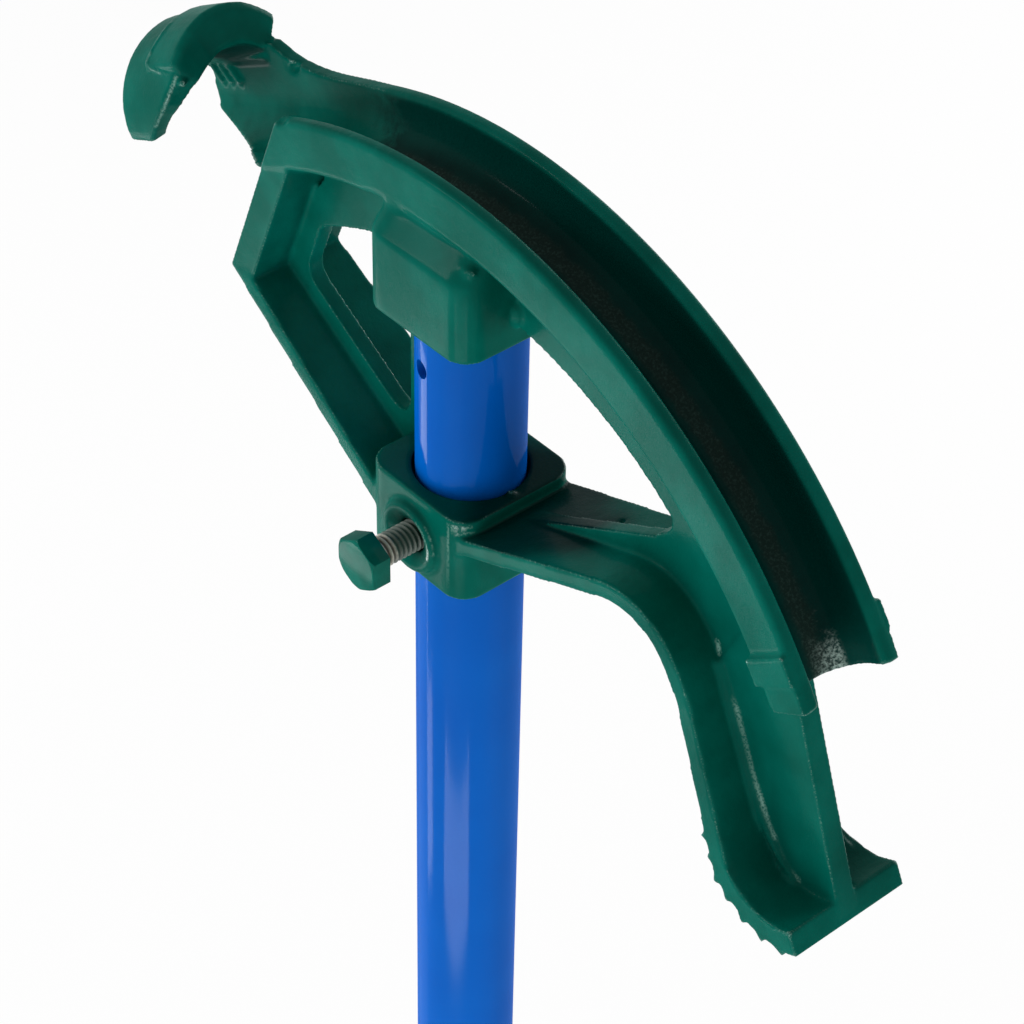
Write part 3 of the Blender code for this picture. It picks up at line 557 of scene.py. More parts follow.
def pick(piece: Piece, test: Callable[[bmesh.types.BMFace], bool]) -> None:
    """Select the faces that pass a test, in edit mode."""
    bpy.ops.mesh.select_all(action="DESELECT")
    mesh = bmesh.from_edit_mesh(piece.data)
    for face in mesh.faces:
        if test(face):
            face.select_set(True)
    mesh.select_flush_mode()
    bmesh.update_edit_mesh(piece.data)


def modify(piece: Piece, kind: str, **settings: Any) -> None:
    """Add a modifier with these settings and apply it."""
    take(piece)
    modifier = piece.modifiers.new(kind.lower(), kind)
    for key, value in settings.items():
        setattr(modifier, key, value)
    bpy.ops.object.modifier_apply(modifier=modifier.name)


def round_edges(piece: Piece, width: float, segments: int, degrees: float) -> None:
    """Bevel the edges that are sharper than an angle."""
    modify(piece, "BEVEL", width=width, segments=segments, limit_method="ANGLE",
           angle_limit=math.radians(degrees))


def shade(piece: Piece, degrees: float) -> Piece:
    """Shade a piece smooth but for the edges that are sharper than an angle."""
    take(piece)
    bpy.ops.object.shade_smooth_by_angle(angle=math.radians(degrees))
    return piece


def write_mark(mesh: bpy.types.Mesh, name: str, values: np.ndarray) -> None:
    """Write a number at each point for the shaders."""
    row = mesh.attributes.new(name, "FLOAT", "POINT")
    row.data.foreach_set("value", values.astype(np.float32))


def read_points(mesh: bpy.types.Mesh, kind: str) -> np.ndarray:
    """Read the points' places ("co") or directions ("normal"), one row each."""
    values = np.empty(3 * len(mesh.vertices))
    mesh.vertices.foreach_get(kind, values)
    return values.reshape(-1, 3)


def distance_to_line(places: np.ndarray, start: Place, end: Place) -> np.ndarray:
    """Distance in metres of each place from a line between two points in millimetres."""
    first, last = np.array(start) * MM, np.array(end) * MM
    way = last - first
    along = np.clip((places - first) @ way / np.dot(way, way), 0, 1)
    return np.linalg.norm(places - first - along[:, None] * way, axis=1)


def fade(away: np.ndarray, reach: float, full: float) -> np.ndarray:
    """1 near a centre, falling to 0 at reach millimetres; full is where it would start, uncut."""
    return np.clip(full - full * away / (reach * MM), 0, 1)


def round_path(centre: Place, radius: float, start: float, end: float,
               steps: int = 10) -> Tuple[Place, ...]:
    """Points on a ring that lies in the X and Z plane; the angles are in degrees."""
    turns = [math.radians(start + (end - start) * step / steps) for step in range(steps + 1)]
    return tuple((centre[0] + radius * math.cos(turn), centre[1], centre[2] + radius * math.sin(turn))
                 for turn in turns)


def golden_direction(step: int, steps: int) -> Vector:
    """One of so many directions spread evenly over a ball."""
    height = 1 - (2 * step + 1) / steps
    turn = step * math.pi * (3 - math.sqrt(5))
    flat = math.sqrt(1 - height * height)
    return Vector((flat * math.cos(turn), flat * math.sin(turn), height))


def settle(piece: Piece) -> Piece:
    """Put a piece's place, turn and size into its mesh."""
    take(piece)
    bpy.ops.object.transform_apply(location=True, rotation=True, scale=True)
    return piece


def named(name: str) -> Piece:
    """Take the primitive that was just added and name it."""
    piece = bpy.context.object
    piece.name = piece.data.name = name
    return piece


def add_cylinder(name: str, radius: float, depth: float, sides: int, centre: Sequence[float],
                 rotation: Sequence[float] = (0, 0, 0)) -> Piece:
    """Add a cylinder whose size, turn and place are in its mesh.

    Args:
        name: the new piece's name.
        radius, depth: its size in metres.
        sides: how many sides it has.
        centre: its middle.
        rotation: its turn from the Z axis.

    Returns:
        The new piece.
    """
    put_down()
    bpy.ops.mesh.primitive_cylinder_add(vertices=sides, radius=radius, depth=depth, location=centre,
                                        rotation=rotation)
    return settle(named(name))


def copy_mesh(source: Piece, name: str) -> Piece:
    """Copy a mesh as a piece of its own; the source stays as it is."""
    piece = bpy.data.objects.new(name, source.data.copy())
    bpy.context.scene.collection.objects.link(piece)
    return piece


def cut(piece: Piece, tool: Piece) -> None:
    """Take a closed tool's shape out of a piece, and throw the tool away."""
    modify(piece, "BOOLEAN", operation="DIFFERENCE", object=tool, solver="EXACT")
    bpy.data.objects.remove(tool)


def dress(piece: Piece, finish: bpy.types.Material, body: Body,
          replaces: Sequence[str] = ()) -> None:
    """Give a piece its finish, the body that carries it and the nodes it stands for."""
    piece.data.materials.clear()
    piece.data.materials.append(finish)
    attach(piece, body.value)
    if replaces:
        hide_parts(*replaces)
    LOG.info("%s: %d faces on %s", piece.name, len(piece.data.polygons), body.value)


# The pieces


@dataclass(frozen=True)
class Lump:
    """A small swelling or hollow in the casting's skin, in millimetres."""

    centre: Place
    radii: Place
    turn: float = 0.0

    def build(self) -> Piece:
        """Model it as a squeezed ball, turned about the Y axis."""
        put_down()
        bpy.ops.mesh.primitive_uv_sphere_add(segments=20, ring_count=12, radius=MM)
        ball = named("lump")
        with editing(ball):
            select_all()
            bpy.ops.transform.resize(value=self.radii)
        ball.rotation_euler = (0, math.radians(self.turn), 0)
        ball.location = Vector(self.centre) * MM
        return settle(ball)


@dataclass(frozen=True)
class Bead:
    """A raised line on the casting's skin, in millimetres."""

    path: Tuple[Place, ...]
    radius: float

    def build(self) -> Piece:
        """Model it by drawing a small round along the path."""
        points = [Vector(point) * MM for point in self.path]
        put_down()
        turn = (points[1] - points[0]).to_track_quat("Z", "Y").to_euler()
        bpy.ops.mesh.primitive_circle_add(vertices=10, radius=self.radius * MM, fill_type="NGON",
                                          location=points[0], rotation=turn)
        bead = settle(named("bead"))
        with editing(bead):
            select_all()
            for before, after in zip(points, points[1:]):
                draw_out(after - before)
            face_outwards()
        return bead


@dataclass(frozen=True)
class Gusset:
    """A flat filling between two walls: its outline in X and Z, and the Y range, in millimetres."""

    outline: Tuple[Span, ...]
    low: float
    high: float

    def build(self) -> Piece:
        """Model it by drawing the outline up through the wall."""
        put_down()
        bpy.ops.mesh.primitive_circle_add(vertices=len(self.outline), radius=MM, fill_type="NGON")
        fill = named("gusset")
        with editing(fill) as mesh:
            mesh.verts.ensure_lookup_table()
            for vert, (x, z) in zip(mesh.verts, self.outline):
                vert.co = Vector((x, self.low, z)) * MM
            select_all()
            draw_out((0, (self.high - self.low) * MM, 0))
            face_outwards()
        return fill


@dataclass(frozen=True)
class Tread:
    """A small ridge across the pedal: its tip in X and Z, its run in degrees, and half its length."""

    x: float
    z: float
    run: float
    half: float
    rise: float = 2.0
    before: float = 2.2
    after: float = 1.3
    sunk: float = 1.2

    def shape(self) -> Gusset:
        """Give the ridge as a filling."""
        tip = Vector((self.x, self.z))
        along = Vector((math.cos(math.radians(self.run)), math.sin(math.radians(self.run))))
        out = Vector((along.y, -along.x))
        below, sunk = tip - out * self.rise, out * self.sunk
        foot, heel = below - along * self.before, below + along * self.after
        outline = (foot - sunk, foot, tip, heel, heel - sunk)
        return Gusset(tuple(tuple(point) for point in outline), -self.half, self.half)


@dataclass(frozen=True)
class Trail:
    """A line on the casting with a soft reach to both sides, in millimetres."""

    path: Tuple[Place, ...]
    reach: float
    strength: float = 1.0
    full: float = 1.6

    def weigh(self, places: np.ndarray) -> np.ndarray:
        """Weigh each place, in metres, by how near the line it lies."""
        away = [distance_to_line(places, start, end) for start, end in zip(self.path, self.path[1:])]
        return self.strength * fade(np.min(away, axis=0), self.reach, self.full)


@dataclass(frozen=True)
class ShadePatch:
    """A patch of painted shade on the faces that look one way, in millimetres."""

    centre: Place
    reach: float
    strength: float
    facing: Optional[Place] = None
    full: float = 1.7

    def weigh(self, places: np.ndarray, normals: np.ndarray) -> np.ndarray:
        """Weigh each place, in metres, by how far it lies in the patch."""
        away = np.linalg.norm(places - np.array(self.centre) * MM, axis=1)
        weight = self.strength * fade(away, self.reach, self.full)
        if self.facing is None:
            return weight
        facing = np.array(self.facing) / np.linalg.norm(self.facing)
        return weight * np.clip(2.0 * (normals @ facing) - 0.6, 0, 1)


RIB_CORNER: Place = (-106.1, -12.4, 1004.4)
RIB_END: Tuple[Place, ...] = ((-106.0, -13.7, 1002.6), (-103.6, -14.1, 1001.9), (-98.7, -14.0, 1003.1))


@dataclass
class HeadCasting:
    """The one-piece cast head."""

    name: str = "head_casting"
    voxel: float = 0.55 * MM
    quick_voxel: float = 1.0 * MM
    smooth_share: float = 0.5
    soften: int = 3
    fillet_rounds: int = 36
    fillet_steps: int = 10
    triangles: int = 190000
    bend_rounds: int = 3
    bend_scale: float = 0.30
    recess_voxel: float = 2.6 * MM
    recess_rays: int = 28
    recess_reach: float = 26.0 * MM
    recess_lift: float = 0.6
    recess_grazing: float = 0.05
    recess_near: int = 3
    hollows: Tuple[Lump, ...] = (
        Lump((-78.2, 9.6, 1004.9), (2.6, 1.4, 1.3), -33.0),
        Lump((-53.3, -13.0, 1011.9), (2.7, 1.2, 1.1), -22.0),
        Lump((44.3, 8.0, 943.0), (0.9, 0.9, 1.0)),
    )
    lumps: Tuple[Lump, ...] = (
        Lump((15.4, -0.6, 937.5), (1.3, 1.2, 0.8)),
        Lump((15.0, -13.9, 1007.3), (2.3, 1.6, 1.2)),
        Lump((18.6, -2.6, 992.3), (1.5, 1.2, 2.6)),
        Lump((-92.6, -13.2, 1003.0), (1.5, 1.0, 1.0)),
    )
    beads: Tuple[Bead, ...] = (
        Bead(((88.4, -3.0, 938.2), (92.2, -3.1, 931.4), (96.9, -3.1, 921.8), (100.9, -3.1, 912.6),
              (104.6, -3.1, 905.2), (109.0, -3.1, 899.0), (113.2, -3.0, 894.2),
              (118.0, -2.9, 891.4)), 1.3),
        Bead(((-107.4, -5.2, 1009.3), (-106.4, -8.0, 1008.4), (-106.0, -10.5, 1006.5), RIB_CORNER,
              RIB_END[0]), 0.6),
        Bead((*RIB_END, (-93.8, -13.9, 1004.2)), 0.6),
    )
    gussets: Tuple[Gusset, ...] = (
        Gusset(((69.8, 966.8), (70.2, 965.2), (70.0, 963.6), (69.2, 962.2), (67.8, 960.8),
                (66.0, 959.4), (66.0, 955.0), (78.0, 955.0), (78.0, 972.0), (72.5, 972.0)), -2.2, 2.2),
        Gusset(((103.0, 904.0), (111.4, 903.5), (112.3, 901.0), (113.3, 897.6), (114.9, 894.7),
                (116.8, 892.3), (119.5, 891.0), (119.0, 888.6), (106.0, 892.0)), 0.0, 14.0),
    )
    old_treads: Gusset = Gusset(
        ((80.0, 933.0), (92.0, 906.0), (100.0, 888.0), (112.0, 881.0), (126.0, 881.0), (134.0, 884.0),
         (132.05, 887.9), (130.05, 886.9), (128.05, 886.1), (126.0, 885.52), (124.0, 885.17),
         (122.0, 884.98), (120.0, 884.92), (118.0, 885.08), (116.0, 885.39), (114.0, 885.84),
         (112.0, 886.5), (110.0, 887.38), (108.0, 888.5), (106.0, 889.95), (105.0, 890.84),
         (104.0, 891.98), (103.0, 893.45), (102.0, 895.6), (101.0, 897.9), (93.6, 914.95),
         (84.7, 935.0)), -13.55, 13.55)
    treads: Tuple[Tread, ...] = tuple(Tread(*row) for row in (
        (98.8, 899.0, -66.7, 15.6), (101.2, 894.0, -64.0, 15.85), (104.5, 889.0, -41.0, 16.1),
        (108.6, 886.0, -26.8, 16.3), (114.6, 883.8, -12.7, 16.5), (120.9, 883.1, 0.0, 16.7),
        (127.5, 884.0, 17.3, 16.8)))
    # Painted highlights: lines lightened for the glints along the heel's fillet, the hook's seam and
    # rib, the collar's corner and the boss's rings.
    glint_lines: Tuple[Trail, ...] = (
        Trail(((88.9, -2.9, 936.8), (91.7, -2.9, 932.7), (95.0, -2.9, 928.1), (98.2, -2.9, 920.7),
               (101.5, -2.9, 913.2), (104.6, -2.9, 907.7), (107.4, -2.9, 902.5), (110.0, -2.9, 899.1)),
              1.0),
        Trail(((110.0, -2.9, 899.1), (114.4, -2.9, 893.9), (118.7, -2.9, 892.2)), 0.7, 0.8),
        Trail(((86.9, -2.2, 942.2), (88.0, -2.2, 938.8)), 0.7),
        Trail(((-93.6, -14.0, 1004.4), (-94.9, -15.8, 998.6), (-97.3, -16.6, 992.7),
               (-99.3, -16.9, 988.6)), 0.5, 0.8),
        Trail((RIB_CORNER, *RIB_END, (-93.8, -13.9, 1004.2)), 0.55, 0.7),
        Trail(((13.0, -17.6, 935.9), (15.0, -17.0, 935.9), (17.6, -14.2, 936.0)), 0.45, 0.7),
        Trail(((14.7, -17.1, 933.3), (16.2, -16.0, 934.0), (17.5, -13.8, 934.4)), 0.3, 0.7),
        Trail(round_path((0.0, -20.0, 924.2), 7.8, -12.0, 62.0), 0.45),
        Trail(round_path((0.0, -19.4, 924.2), 9.7, 2.0, 52.0), 0.45),
    )
    # Painted shade: patches where the casting lies in shade.
    shade_patches: Tuple[ShadePatch, ...] = tuple(ShadePatch(*row) for row in (
        ((8.0, -2.0, 937.4), 34.0, 0.50, (0, 0, 1)),
        ((15.0, 12.0, 937.4), 20.0, 0.35, (0, 0, 1)),
        ((28.0, 4.0, 938.0), 24.0, 0.62, (-0.35, 0, 0.93)),
        ((44.0, 2.0, 947.0), 14.0, 0.35, (-0.47, 0, 0.88)),
        ((34.0, -9.0, 940.0), 25.0, 0.45, (-0.35, 0, 0.93)),
        ((0.0, -16.5, 924.2), 7.8, 0.75),
        ((-96.0, 7.5, 1000.0), 16.0, 0.85, (0.3, -0.6, -0.7)),
        ((-92.6, -8.5, 1007.5), 9.0, 0.40, (0.9, 0, 0.4)),
        ((101.0, -3.0, 915.0), 26.0, 0.38, (0, -1, 0)),
        ((82.0, -2.2, 952.0), 30.0, 0.36, (0, -1, 0)),
        ((118.0, 9.0, 897.0), 20.0, 0.60),
        ((-5.6, -18.0, 1001.0), 17.0, 0.20, (0, -1, 0))))
    fillets: Tuple[Trail, ...] = (
        Trail(((-17.0, -14.0, 1009.0), (20.0, -14.0, 1003.0)), 5.5),
        Trail(((17.5, 0.0, 946.5), (17.5, -14.0, 938.5)), 3.0),
        Trail(((-88.0, 6.0, 1008.0), (-95.0, -8.0, 1000.0)), 4.0),
    )

    def build(self, node: Piece) -> Piece:
        """Model the casting over its CAD node.

        Args:
            node: the CAD node of the head.

        Returns:
            The finished mesh.
        """
        piece = copy_mesh(node, self.name)
        with editing(piece, "VERT"):
            select_all()
            bpy.ops.mesh.remove_doubles(threshold=WELD)
        for hollow in self.hollows:
            cut(piece, hollow.build())
        cut(piece, self.old_treads.build())
        ridges = [tread.shape() for tread in self.treads]
        added = [form.build() for form in (*self.lumps, *self.beads, *self.gussets, *ridges)]
        take(piece)
        for form in added:
            form.select_set(True)
        bpy.ops.object.join()
        size = self.voxel
        modify(piece, "REMESH", mode="VOXEL", voxel_size=size, adaptivity=0.0)
        finer = (self.voxel / size) ** 2
        self.weigh_fillets(piece)
        modify(piece, "SMOOTH", factor=self.smooth_share, vertex_group="fillet",
               iterations=round(self.fillet_rounds * finer))
        piece.vertex_groups.clear()
        modify(piece, "SMOOTH", factor=self.smooth_share, iterations=max(1, round(self.soften * finer)))
        triangles = 2 * len(piece.data.polygons)
        if triangles > self.triangles:
            modify(piece, "DECIMATE", decimate_type="COLLAPSE", ratio=self.triangles / triangles)
        take(piece)
        bpy.ops.object.shade_smooth()
        self.mark_bends(piece)
        self.mark_recesses(piece)
        self.mark_painted_light(piece)
        return piece

    def mark_painted_light(self, piece: Piece) -> None:
        """Write the lines painted as glints, and the patches painted as shade."""
        places, normals = read_points(piece.data, "co"), read_points(piece.data, "normal")
        painted_glint_lines = np.max([glint_line.weigh(places) for glint_line in self.glint_lines], axis=0)
        painted_shading = np.clip(np.sum([painted_shade_mark.weigh(places, normals) for painted_shade_mark in self.shade_patches], axis=0), 0, 1)
        write_mark(piece.data, "glint_line", painted_glint_lines)
        write_mark(piece.data, "painted_shade_mark", painted_shading)

    def weigh_fillets(self, piece: Piece) -> None:
        """Weigh the points near each fillet line, for the soft run-outs."""
        places = read_points(piece.data, "co")
        weights = np.max([fillet.weigh(places) for fillet in self.fillets], axis=0)
        group = piece.vertex_groups.new(name="fillet")
        steps = np.round(weights * self.fillet_steps).astype(int)
        for step in range(1, self.fillet_steps + 1):
            group.add(np.nonzero(steps == step)[0].tolist(), step / self.fillet_steps, "REPLACE")

    def mark_recesses(self, piece: Piece) -> None:
        """Write how closed in each point is, from a coarse copy of the casting; the shader paints shade
        from it.
        """
        coarse = copy_mesh(piece, "coarse")
        modify(coarse, "REMESH", mode="VOXEL", voxel_size=self.recess_voxel, adaptivity=0.0)
        places, normals = read_points(coarse.data, "co"), read_points(coarse.data, "normal")
        walls = BVHTree.FromObject(coarse, bpy.context.evaluated_depsgraph_get())
        spread = [golden_direction(step, self.recess_rays) for step in range(self.recess_rays)]
        tree = KDTree(len(places))
        occlusion_shade = np.zeros(len(places))
        for index, (place, normal) in enumerate(zip(places, normals)):
            start, up = Vector(place), Vector(normal)
            tree.insert(start, index)
            total = 0.0
            for way in spread:
                share = way.dot(up)
                if share > self.recess_grazing:
                    total += share
                    lifted = start + up * self.recess_voxel * self.recess_lift
                    if walls.ray_cast(lifted, way, self.recess_reach)[0]:
                        occlusion_shade[index] += share
            occlusion_shade[index] /= max(total, 1e-6)
        tree.balance()
        bpy.data.objects.remove(coarse)
        values = np.zeros(len(piece.data.vertices), np.float32)
        for index, place in enumerate(read_points(piece.data, "co")):
            near = tree.find_n(Vector(place), self.recess_near)
            closeness = [1.0 / (distance + 1e-5) for _, _, distance in near]
            values[index] = sum(occlusion_shade[n] * c for (_, n, _), c in zip(near, closeness)) / sum(closeness)
        write_mark(piece.data, "occlusion", values)

    def mark_bends(self, piece: Piece) -> None:
        """Write how far each point stands out of its neighbours."""
        mesh = piece.data
        places, normals = read_points(mesh, "co"), read_points(mesh, "normal")
        ends = np.empty(2 * len(mesh.edges), int)
        mesh.edges.foreach_get("vertices", ends)
        first, last = ends.reshape(-1, 2).T
        apart = places[last] - places[first]
        length = np.maximum(np.linalg.norm(apart, axis=1), 1e-7)
        total, count = np.zeros((2, len(places)))
        for here, way in ((first, apart), (last, -apart)):
            rise = np.einsum("ij,ij->i", way, normals[here]) / length
            np.add.at(total, here, rise)
            np.add.at(count, here, 1)
        bend = total / np.maximum(count, 1)
        for _ in range(self.bend_rounds):
            spread = bend * count
            np.add.at(spread, first, bend[last])
            np.add.at(spread, last, bend[first])
            bend = spread / (2 * count)
        # This also places the painted highlights on the edges.
        write_mark(mesh, "convexity", np.clip(-bend / self.bend_scale, 0, 1))


@dataclass
class HandleTube:
    """The painted pipe with its hang hole."""

    name: str = "handle_pipe"
    radius: float = 13.35 * MM
    wall: float = 2.3 * MM
    sides: int = 128
    edge: float = 0.35 * MM
    hole_radius: float = 2.4 * MM
    hole_sides: int = 40
    hole_height: float = 969.7 * MM
    hole_turn: float = math.radians(11.7)

    def build(self, node: str) -> Piece:
        """Model the pipe in its CAD node's place.

        Args:
            node: the name of the CAD node of the pipe.

        Returns:
            The finished mesh.
        """
        low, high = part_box(node)
        piece = add_cylinder(self.name, self.radius, high.z - low.z, self.sides,
                             (0, 0, (low.z + high.z) / 2))
        with editing(piece):
            pick(piece, lambda face: abs(face.normal.z) > LEVEL)
            bpy.ops.mesh.inset(thickness=self.wall)
            pick(piece, lambda face: abs(face.normal.z) > LEVEL and len(face.verts) > 4)
            bpy.ops.mesh.bridge_edge_loops()
        round_edges(piece, self.edge, 2, 60)
        side = Vector((-math.sin(self.hole_turn), -math.cos(self.hole_turn), 0)) * self.radius
        cut(piece, add_cylinder("hole_tool", self.hole_radius, self.radius, self.hole_sides,
                                side + Vector((0, 0, self.hole_height)),
                                (math.pi / 2, 0, -self.hole_turn)))
        return shade(piece, 32)


@dataclass
class SetScrew:
    """The clamping screw: a threaded shank and a painted hex head."""

    shank_name: str = "set_screw_thread"
    head_name: str = "set_screw_head"
    height: float = 924.2 * MM
    radius: float = 4.0 * MM
    root: float = 3.35 * MM
    pitch: float = 1.4 * MM
    tooth: Tuple[Span, ...] = ((0, 0.18), (1, 0.32), (0, 0.14), (-1, 0.36))
    turn_steps: int = 36
    lead: float = 0.4
    tip: float = -13.65 * MM
    seat: float = -30.0 * MM
    head_height: float = 5.3 * MM
    flats: float = 13.0 * MM
    rounding: float = 0.4 * MM
    chamfer: float = 1.5 * MM
    turned_gap: float = 0.2 * MM

    def build_shank(self) -> Piece:
        """Model the thread by turning one tooth up a helix."""
        put_down()
        bpy.ops.mesh.primitive_plane_add(size=self.pitch, location=(0, 0, 0))
        piece = named(self.shank_name)
        depth = self.radius - self.root
        with editing(piece, "VERT"):
            select_all()
            bpy.ops.mesh.merge(type="CENTER")
            select_all()
            bpy.ops.transform.translate(value=(self.root, 0, 0))
            for across, up in self.tooth:
                draw_out((across * depth, 0, up * self.pitch))
        length = self.tip - self.seat
        modify(piece, "SCREW", angle=math.tau, screw_offset=self.pitch, axis="Z",
               iterations=int(length / self.pitch) + 1, steps=self.turn_steps,
               render_steps=self.turn_steps, use_merge_vertices=True, merge_threshold=WELD)
        with editing(piece, "VERT"):
            select_all()
            bpy.ops.mesh.remove_doubles(threshold=WELD)
            for level, way in ((length, 1), (self.pitch, -1)):
                select_all()
                bpy.ops.mesh.bisect(plane_co=(0, 0, level), plane_no=(0, 0, way), clear_outer=True,
                                    use_fill=True)
            face_outwards()
        piece.rotation_euler = (math.radians(-90), 0, 0)
        piece.location = (0, self.seat - self.lead * self.pitch, self.height)
        return shade(settle(piece), 40)

    def build_head(self) -> Piece:
        """Model the hexagon with its turned corners."""
        corner, upright = self.flats / math.sqrt(3), (math.pi / 2, 0, 0)
        piece = add_cylinder(self.head_name, corner, self.head_height, 6,
                             (0, self.seat - self.head_height / 2, self.height), upright)
        turned = add_cylinder("turned", corner + self.turned_gap, 2 * self.head_height, 64,
                              (0, self.seat, self.height), upright)
        round_edges(turned, self.chamfer, 4, 60)
        modify(piece, "BOOLEAN", operation="INTERSECT", object=turned, solver="EXACT")
        bpy.data.objects.remove(turned)
        round_edges(piece, self.rounding, 3, 34)
        return shade(piece, 40)


@dataclass
class EndCap:
    """The dipped cap on the handle's lower end."""

    name: str = "end_cap_vinyl"
    sides: int = 96
    bore: float = 13.65 * MM
    base: float = 3.0 * MM
    rounding: float = 0.4 * MM
    ribs: int = 5
    first_rib: float = 9.0 * MM
    rib_pitch: float = 4.2 * MM
    rib_width: float = 2.2 * MM
    rib_depth: float = 0.5 * MM
    rib_inset: float = 0.5 * MM

    def build(self, node: str) -> Piece:
        """Model the cap in its CAD node's place.

        Args:
            node: the name of the CAD node of the cap.

        Returns:
            The finished mesh.
        """
        low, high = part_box(node)
        radius = (high.x - low.x) / 2
        piece = add_cylinder(self.name, radius, high.z - low.z, self.sides,
                             (0, 0, (low.z + high.z) / 2))
        with editing(piece):
            pick(piece, lambda face: face.normal.z > LEVEL)
            bpy.ops.mesh.inset(thickness=radius - self.bore)
            draw_out((0, 0, -(high.z - low.z) + self.base))
            for step in range(self.ribs):
                for side in (-0.5, 0.5):
                    level = self.first_rib + step * self.rib_pitch + side * self.rib_width
                    select_all()
                    bpy.ops.mesh.bisect(plane_co=(0, 0, level), plane_no=(0, 0, 1))
            floor = self.first_rib - self.rib_width / 2

            def in_rib(face: bmesh.types.BMFace) -> bool:
                """Whether an outer face lies in one of the grooves."""
                centre = face.calc_center_median()
                outer = centre.to_2d().length > radius - 0.8 * MM and abs(face.normal.z) < 0.5
                step = (centre.z - floor) / self.rib_pitch
                return outer and 0 <= step < self.ribs and (step % 1) * self.rib_pitch < self.rib_width

            pick(piece, in_rib)
            bpy.ops.mesh.inset(thickness=self.rib_inset, use_boundary=True)
            bpy.ops.transform.shrink_fatten(value=-self.rib_depth)
        round_edges(piece, self.rounding, 2, 50)
        return shade(piece, 35)


# The studio


@dataclass(frozen=True)
class Lamp:
    """One soft box. It may show in the enamel, and one that doesn't light is only seen there."""

    name: str
    towards: Place
    distance: float
    size: float
    level: float
    mirrored: bool = False
    lights: bool = True
    height: Optional[float] = None

    def build(self, aim: Vector) -> None:
        """Hang the lamp so that a face turned to it gets level times full light.

        Args:
            aim: the point that it shines on.
        """
        put_down()
        way = Vector(self.towards).normalized()
        bpy.ops.object.light_add(type="AREA", location=aim + way * self.distance)
        lamp = bpy.context.object
        lamp.name = self.name
        lamp.rotation_euler = way.to_track_quat("Z", "Y").to_euler()
        lamp.data.shape = "RECTANGLE"
        lamp.data.size = self.size
        lamp.data.size_y = self.height or self.size
        lamp.data.energy = self.level * math.pi**2 * self.distance**2
        lamp.visible_glossy = self.mirrored
        lamp.visible_diffuse = self.lights


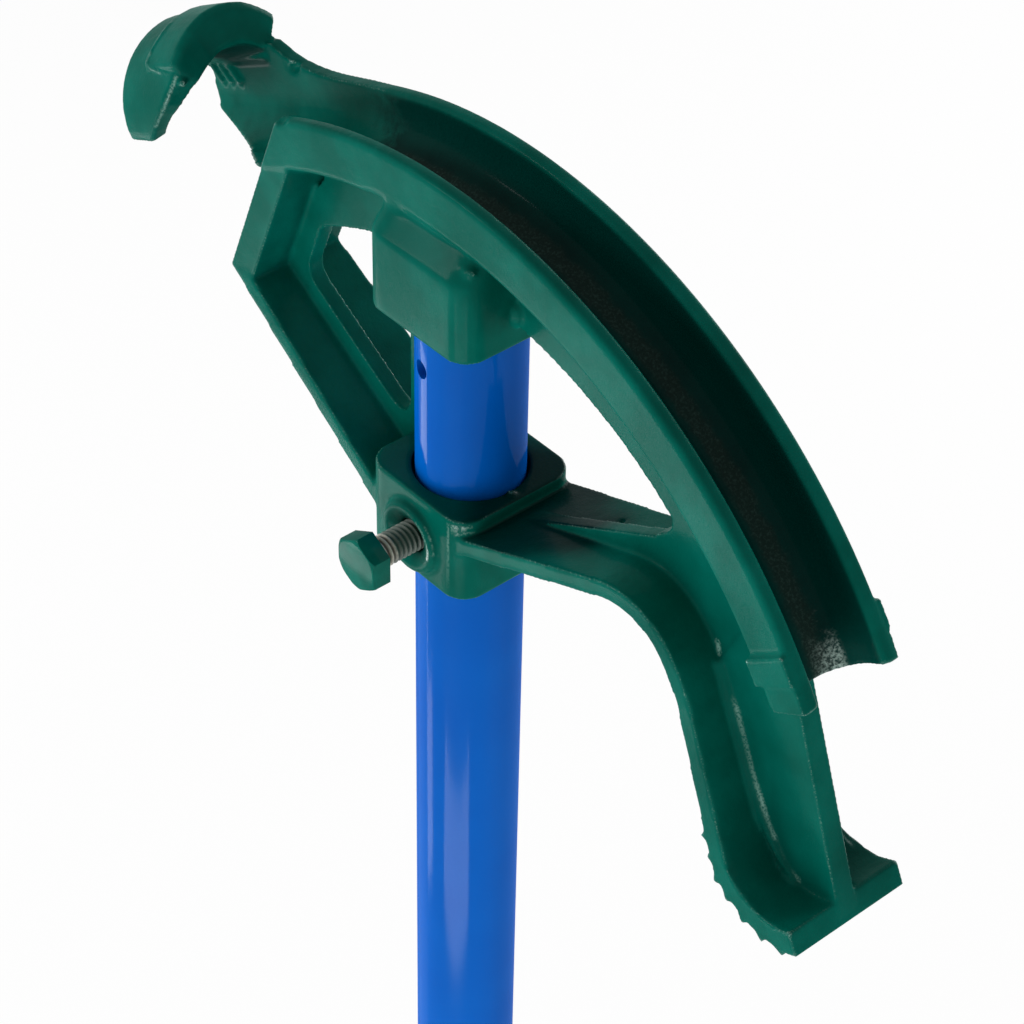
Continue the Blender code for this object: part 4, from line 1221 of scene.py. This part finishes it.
@dataclass
class Studio:
    """Floor, lamps, backdrop and camera."""

    aim: Place = (0.0, 0.0, 0.927018)
    azimuth: float = math.radians(48.47103)
    elevation: float = math.radians(40.07998)
    roll: float = math.radians(1.24792)
    focal_pixels: float = 3005.545
    distance: float = 0.721988
    aim_pixel: Span = (470.511, 494.902)
    picture: int = 1024
    sensor: float = 36.0
    ambient: float = 0.26
    floor_size: float = 40.0
    lamps: Tuple[Lamp, ...] = (
        Lamp("key_light", (0.25, -0.92, -0.28), 1.7, 1.0, 0.44),
        Lamp("left_light", (-0.88, -0.20, -0.02), 1.9, 1.1, 0.50),
        Lamp("low_light", (0.79, 0.25, -0.42), 1.6, 1.0, 0.36),
        Lamp("back_light", (-0.25, 1.0, 0.12), 2.2, 1.4, 0.55, True),
        Lamp("edge_light", (-0.57, -0.73, 0.38), 1.9, 0.30, 0.12, True),
        Lamp("left_gleam", (-0.593, -0.484, -0.60), 1.2, 0.80, 0.24, True, False, 0.18),
        Lamp("front_gleam", (0.352, -0.678, -0.60), 1.2, 0.90, 0.27, True, False, 0.18),
    )

    def build_floor(self) -> None:
        """Lay the floor under the handle's end."""
        put_down()
        bpy.ops.mesh.primitive_plane_add(size=self.floor_size, location=(0, 0, 0))
        floor = settle(named("studio_floor"))
        floor.data.materials.append(PaleFloor().material())

    def build_backdrop(self) -> None:
        """Set the sky: white where it is seen, plain and dim where it lights."""
        bpy.context.scene.world = bpy.data.worlds.new("studio")
        graph = Graph(bpy.context.scene.world)
        dim, bright = (graph.wire("Background", {"Color": WHITE, "Strength": level})
                       for level in (self.ambient, 1.0))
        both = graph.wire("MixShader", {0: graph.seen(), 1: dim, 2: bright})
        graph.node("OutputWorld", {"Surface": both})

    def build_camera(self) -> None:
        """Set the camera at the photograph's place."""
        flat = Vector((math.sin(self.azimuth), -math.cos(self.azimuth), 0.0))
        back = flat * math.cos(self.elevation) + Vector((0, 0, math.sin(self.elevation)))
        right = Vector((math.cos(self.azimuth), math.sin(self.azimuth), 0.0))
        up = back.cross(right)
        across = right * math.cos(self.roll) + up * math.sin(self.roll)
        upright = up * math.cos(self.roll) - right * math.sin(self.roll)
        half = self.picture / 2
        aside = (self.aim_pixel[0] - half) / self.focal_pixels
        above = (half - self.aim_pixel[1]) / self.focal_pixels
        place = Vector(self.aim) + (back - across * aside - upright * above) * self.distance
        put_down()
        bpy.ops.object.camera_add()
        camera = bpy.context.object
        camera.name = "photo_camera"
        turn = Matrix((across, upright, back)).transposed().to_4x4()
        camera.matrix_world = Matrix.Translation(place) @ turn
        camera.data.sensor_width = self.sensor
        camera.data.lens = self.focal_pixels * self.sensor / self.picture
        camera.data.clip_start = 0.01
        bpy.context.scene.camera = camera

    def build(self) -> None:
        """Set up everything round the object."""
        bpy.context.scene.view_settings.view_transform = "Standard"
        self.build_camera()
        self.build_floor()
        self.build_backdrop()
        for lamp in self.lamps:
            lamp.build(Vector(self.aim))
        LOG.info("studio: %d lamps", len(self.lamps))


def main() -> None:
    """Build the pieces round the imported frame, dress them and set the studio."""
    logging.basicConfig(level=logging.INFO, format="%(name)s: %(message)s")
    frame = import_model()
    Studio().build()
    head = HeadCasting().build(frame["nodes"]["bender_head"])
    dress(head, CastEnamel().material(), Body.HEAD, ["bender_head"])
    tube = HandleTube().build("handle_tube")
    dress(tube, PIPE_ENAMEL.material(), Body.HANDLE, ["handle_tube"])
    screw = SetScrew()
    dress(screw.build_shank(), ThreadZinc().material(), Body.SCREW, ["set_screw"])
    dress(screw.build_head(), SCREW_ENAMEL.material(), Body.SCREW)
    cap = EndCap().build("end_cap")
    dress(cap, DippedVinyl().material(), Body.HANDLE, ["end_cap"])
    put_down()


if __name__ == "__main__":
    main()
